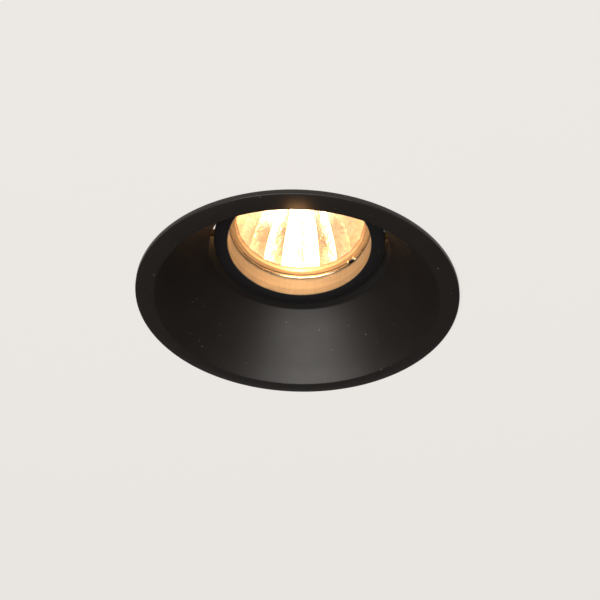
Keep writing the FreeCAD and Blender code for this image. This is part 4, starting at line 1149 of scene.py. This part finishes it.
def buildHolderScrews():
    h = holder
    tip, top = h["back"] - 7.0, h["coverBack"] + 0.02
    shank, head = h["screw"], h["screwHead"]
    profile = [(shank - 0.45, tip), (shank - 0.25, tip + 0.25)]
    turn = tip + 0.4
    while turn < h["back"] - 0.8:
        profile += [(shank, turn), (shank - 0.23, turn + 0.22)]
        turn += 0.45
    profile += [(shank, turn), (shank, top), (head, top), (head, top + 0.95), (head - 0.25, top + 1.2)]
    profile.append((head - 0.8, top + 1.3))
    piece = lathe("lampholderScrews", profile, 40, closed=False)
    cut(piece, block((-3, -0.32, top + 0.6), (3, 0.32, top + 2)))
    slotTurn = Matrix.Rotation(math.radians(h["slotTurn"]), 4, "Z")
    place(piece, Matrix.Translation((h["screwAt"] * mm, 0, 0)) @ slotTurn)
    piece = withTwin(piece)
    finishHead(piece, screwPaint, "lampholder", "screws", "lampholder_screws", 35)


buildHolder()
buildCover()
buildContacts()
buildHolderScrews()
print("lampholder is made")


# spring clips

clip = {
    "pin": 1.5, "pinHead": 2.4, "keeper": 2.8, "groove": 1.1, "strapTop": -3.7, "strapLow": -4.7,
    "cheek": 6.45, "sheet": 1.0, "eye": 2.7, "heel": 0.2, "footReach": 4.7, "reach": 34.0, "hole": 1.56,
    "bead": 19.25, "sleeveStart": 21.0, "sleeveEnd": 35.2, "sleeveWall": 1.2, "sleeveGap": 0.05, "sole": 1.0,
    "grips": 5, "gripPitch": 2.2,
}


def buildClipPins():
    # drawn along z, from the head up, then laid along the clip's pin
    end, pin, head, groove = trim["lugOuter"] + 0.05, clip["pin"], clip["pinHead"], clip["groove"]
    profile = [
        (head - 0.5, -end - 0.9), (head, -end - 0.5), (head, -end), (pin, -end), (pin, end), (groove, end),
        (groove, end + 0.6), (pin, end + 0.6), (pin, end + 1.05), (pin - 0.25, end + 1.3),
    ]
    pin = lathe("clipPins", profile, 48, closed=False)
    place(pin, clipFrame["right"] @ Matrix.Rotation(math.radians(90), 4, "X"))
    pin = join("clipPins", pin, copyMirrored(pin))
    finishPiece(pin, screwPaint, "trim", "clip_steel", "clip_pins", 35)


def buildKeepers():
    start = trim["lugOuter"] + 0.10
    ringPart = sectorTool(clip["groove"] + 0.05, clip["keeper"], 0, 290, start, start + 0.5)
    soften(ringPart, 0.08, 2, 60)
    place(ringPart, clipFrame["right"] @ Matrix.Rotation(math.radians(90), 4, "X"))
    ringPart = join("clipPinKeepers", ringPart, copyMirrored(ringPart))
    finishPiece(ringPart, springPaint, "trim", "clip_steel", "clip_pin_keepers", 35)


def clipArm(side):
    c = clip
    low, high = (-c["heel"], -c["cheek"], c["strapLow"]), (c["reach"], c["cheek"], c["strapTop"])
    strap = block(low, high, f"{side}ClipArm")
    roundEdges(strap, lambda a, b: min(a.x, b.x) > 30 and abs(a.z - b.z) > 0.5, 2.0, 6)
    for edge in (-1, 1):
        near, far = sorted((edge * c["cheek"], edge * (c["cheek"] - c["sheet"])))
        cheek = block((-c["eye"], near, c["strapLow"]), (c["eye"], far, c["eye"]))
        roundEdges(cheek, lambda a, b: min(a.z, b.z) > 1 and abs(a.y - b.y) > 0.5, c["eye"] - 0.002, 12)
        # the cheek's foot runs from the heel to past the eye
        for way, shift in ((-1, c["eye"] - c["heel"]), (1, c["footReach"])):
            choose(cheek, lambda co: co.z < -3 and co.x * way > 0, "VERT")
            moveBy(shift, 0, 0)
            done()
        outwards(cheek)
        cut(strap, cheek, operation="UNION")
    cut(strap, rod(c["hole"], -9, 9, "Y", (0, 0), 40))
    soften(strap, 0.14, 2, 50)
    # a pressed bead keeps the spring's toe in place
    x, top = c["bead"], c["strapTop"] + 0.6
    bead = block((x - 0.75, -1.5, c["strapTop"] - 0.3), (x + 0.75, 1.5, top))
    choose(bead, lambda centre, normal: normal.z > 0.9)
    bpy.ops.transform.resize(value=(0.35, 0.7, 1), center_override=Vector((x, 0, top)) * mm)
    done()
    soften(bead, 0.2, 3, 20)
    cut(strap, bead, operation="UNION")
    place(strap, armFrame[side])
    finishPiece(strap, clipPaint, f"{side}_clip", "clip_steel", f"{side}_clip_arm", 32)


def clipSleeve(side):
    c = clip
    top, low = c["strapTop"] + c["sleeveWall"], c["strapLow"] - c["sleeveWall"]
    half = c["cheek"] + c["sleeveWall"]
    piece = block((c["sleeveStart"], -half, low), (c["sleeveEnd"], half, top), f"{side}ClipSleeve")
    # crowned sole: the underside is divided along the arm and bowed down
    edit(piece)
    steps, length = 12, c["sleeveEnd"] - c["sleeveStart"]
    for n in range(1, steps):
        bpy.ops.mesh.select_all(action="SELECT")
        spot = Vector((c["sleeveStart"] + length * n / steps, 0, 0)) * mm
        bpy.ops.mesh.bisect(plane_co=spot, plane_no=(1, 0, 0))
    done()
    for n in range(steps + 1):
        x = c["sleeveStart"] + length * n / steps
        drop = c["sole"] * (1 - (2 * n / steps - 1) ** 2)
        choose(piece, lambda co: abs(co.x - x) < 0.01 and co.z < low + 0.01, "VERT")
        moveBy(0, 0, -drop)
        done()
    outwards(piece)
    soften(piece, 0.7, 4, 50)
    for n in range(c["grips"]):
        x = c["sleeveStart"] + 2.6 + n * c["gripPitch"]
        cut(piece, block((x, -half - 1, low - 2), (x + 0.8, half + 1, low - 0.35)))
    gap = Vector((c["sleeveGap"],) * 3)
    cut(piece, block(
        Vector((c["sleeveStart"] - 2, -c["cheek"], c["strapLow"])) - gap,
        Vector((c["reach"], c["cheek"], c["strapTop"])) + gap,
    ))
    place(piece, armFrame[side])
    finishPiece(piece, sleevePaint, f"{side}_clip", "sleeve", f"{side}_clip_sleeve", 35)


coil = {"wire": 1.2, "radius": 2.8, "pitch": 1.8, "turns": 2, "foot": 9.5, "toe": 15.0}


def torsionSpring(side):
    # one wire: the foot along the cone, the coil round the pin, the toe along the strap
    s = coil
    lean = math.degrees(math.atan(trim["slope"]))
    startAngle = 180 + lean
    endAngle = 270 - clipPin["drop"] + 360 * s["turns"]
    sweep = endAngle - startAngle
    length = s["pitch"] * sweep / 360
    # the section starts at angle 0 of the coil, facing along z, and is then turned to the foot's end
    wire = wireStart(f"{side}ClipSpring", s["wire"], (s["radius"], -length / 2, -s["foot"]), 14)
    edit(wire)
    for n in range(4):
        extrudeBy(0, 0, s["foot"] / 4)
    steps = int(sweep / 7.5)
    sweepArc(wire, (0, 0, 0), "Y", -sweep, steps, length)
    # the toe leaves along the strap
    turn = math.radians(sweep)
    for n in range(6):
        extrudeBy(-math.sin(turn) * s["toe"] / 6, 0, math.cos(turn) * s["toe"] / 6)
    closeEnds(wire)
    soften(wire, 0.15, 2, 60)
    place(wire, clipFrame[side] @ Matrix.Rotation(math.radians(-startAngle), 4, "Y"))
    finishPiece(wire, springPaint, None, "spring_wire", f"{side}_clip_spring", 40)
    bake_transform(wire)


buildClipPins()
buildKeepers()
for side in ("right", "left"):
    clipArm(side)
    clipSleeve(side)
    torsionSpring(side)
print("spring clips are made")
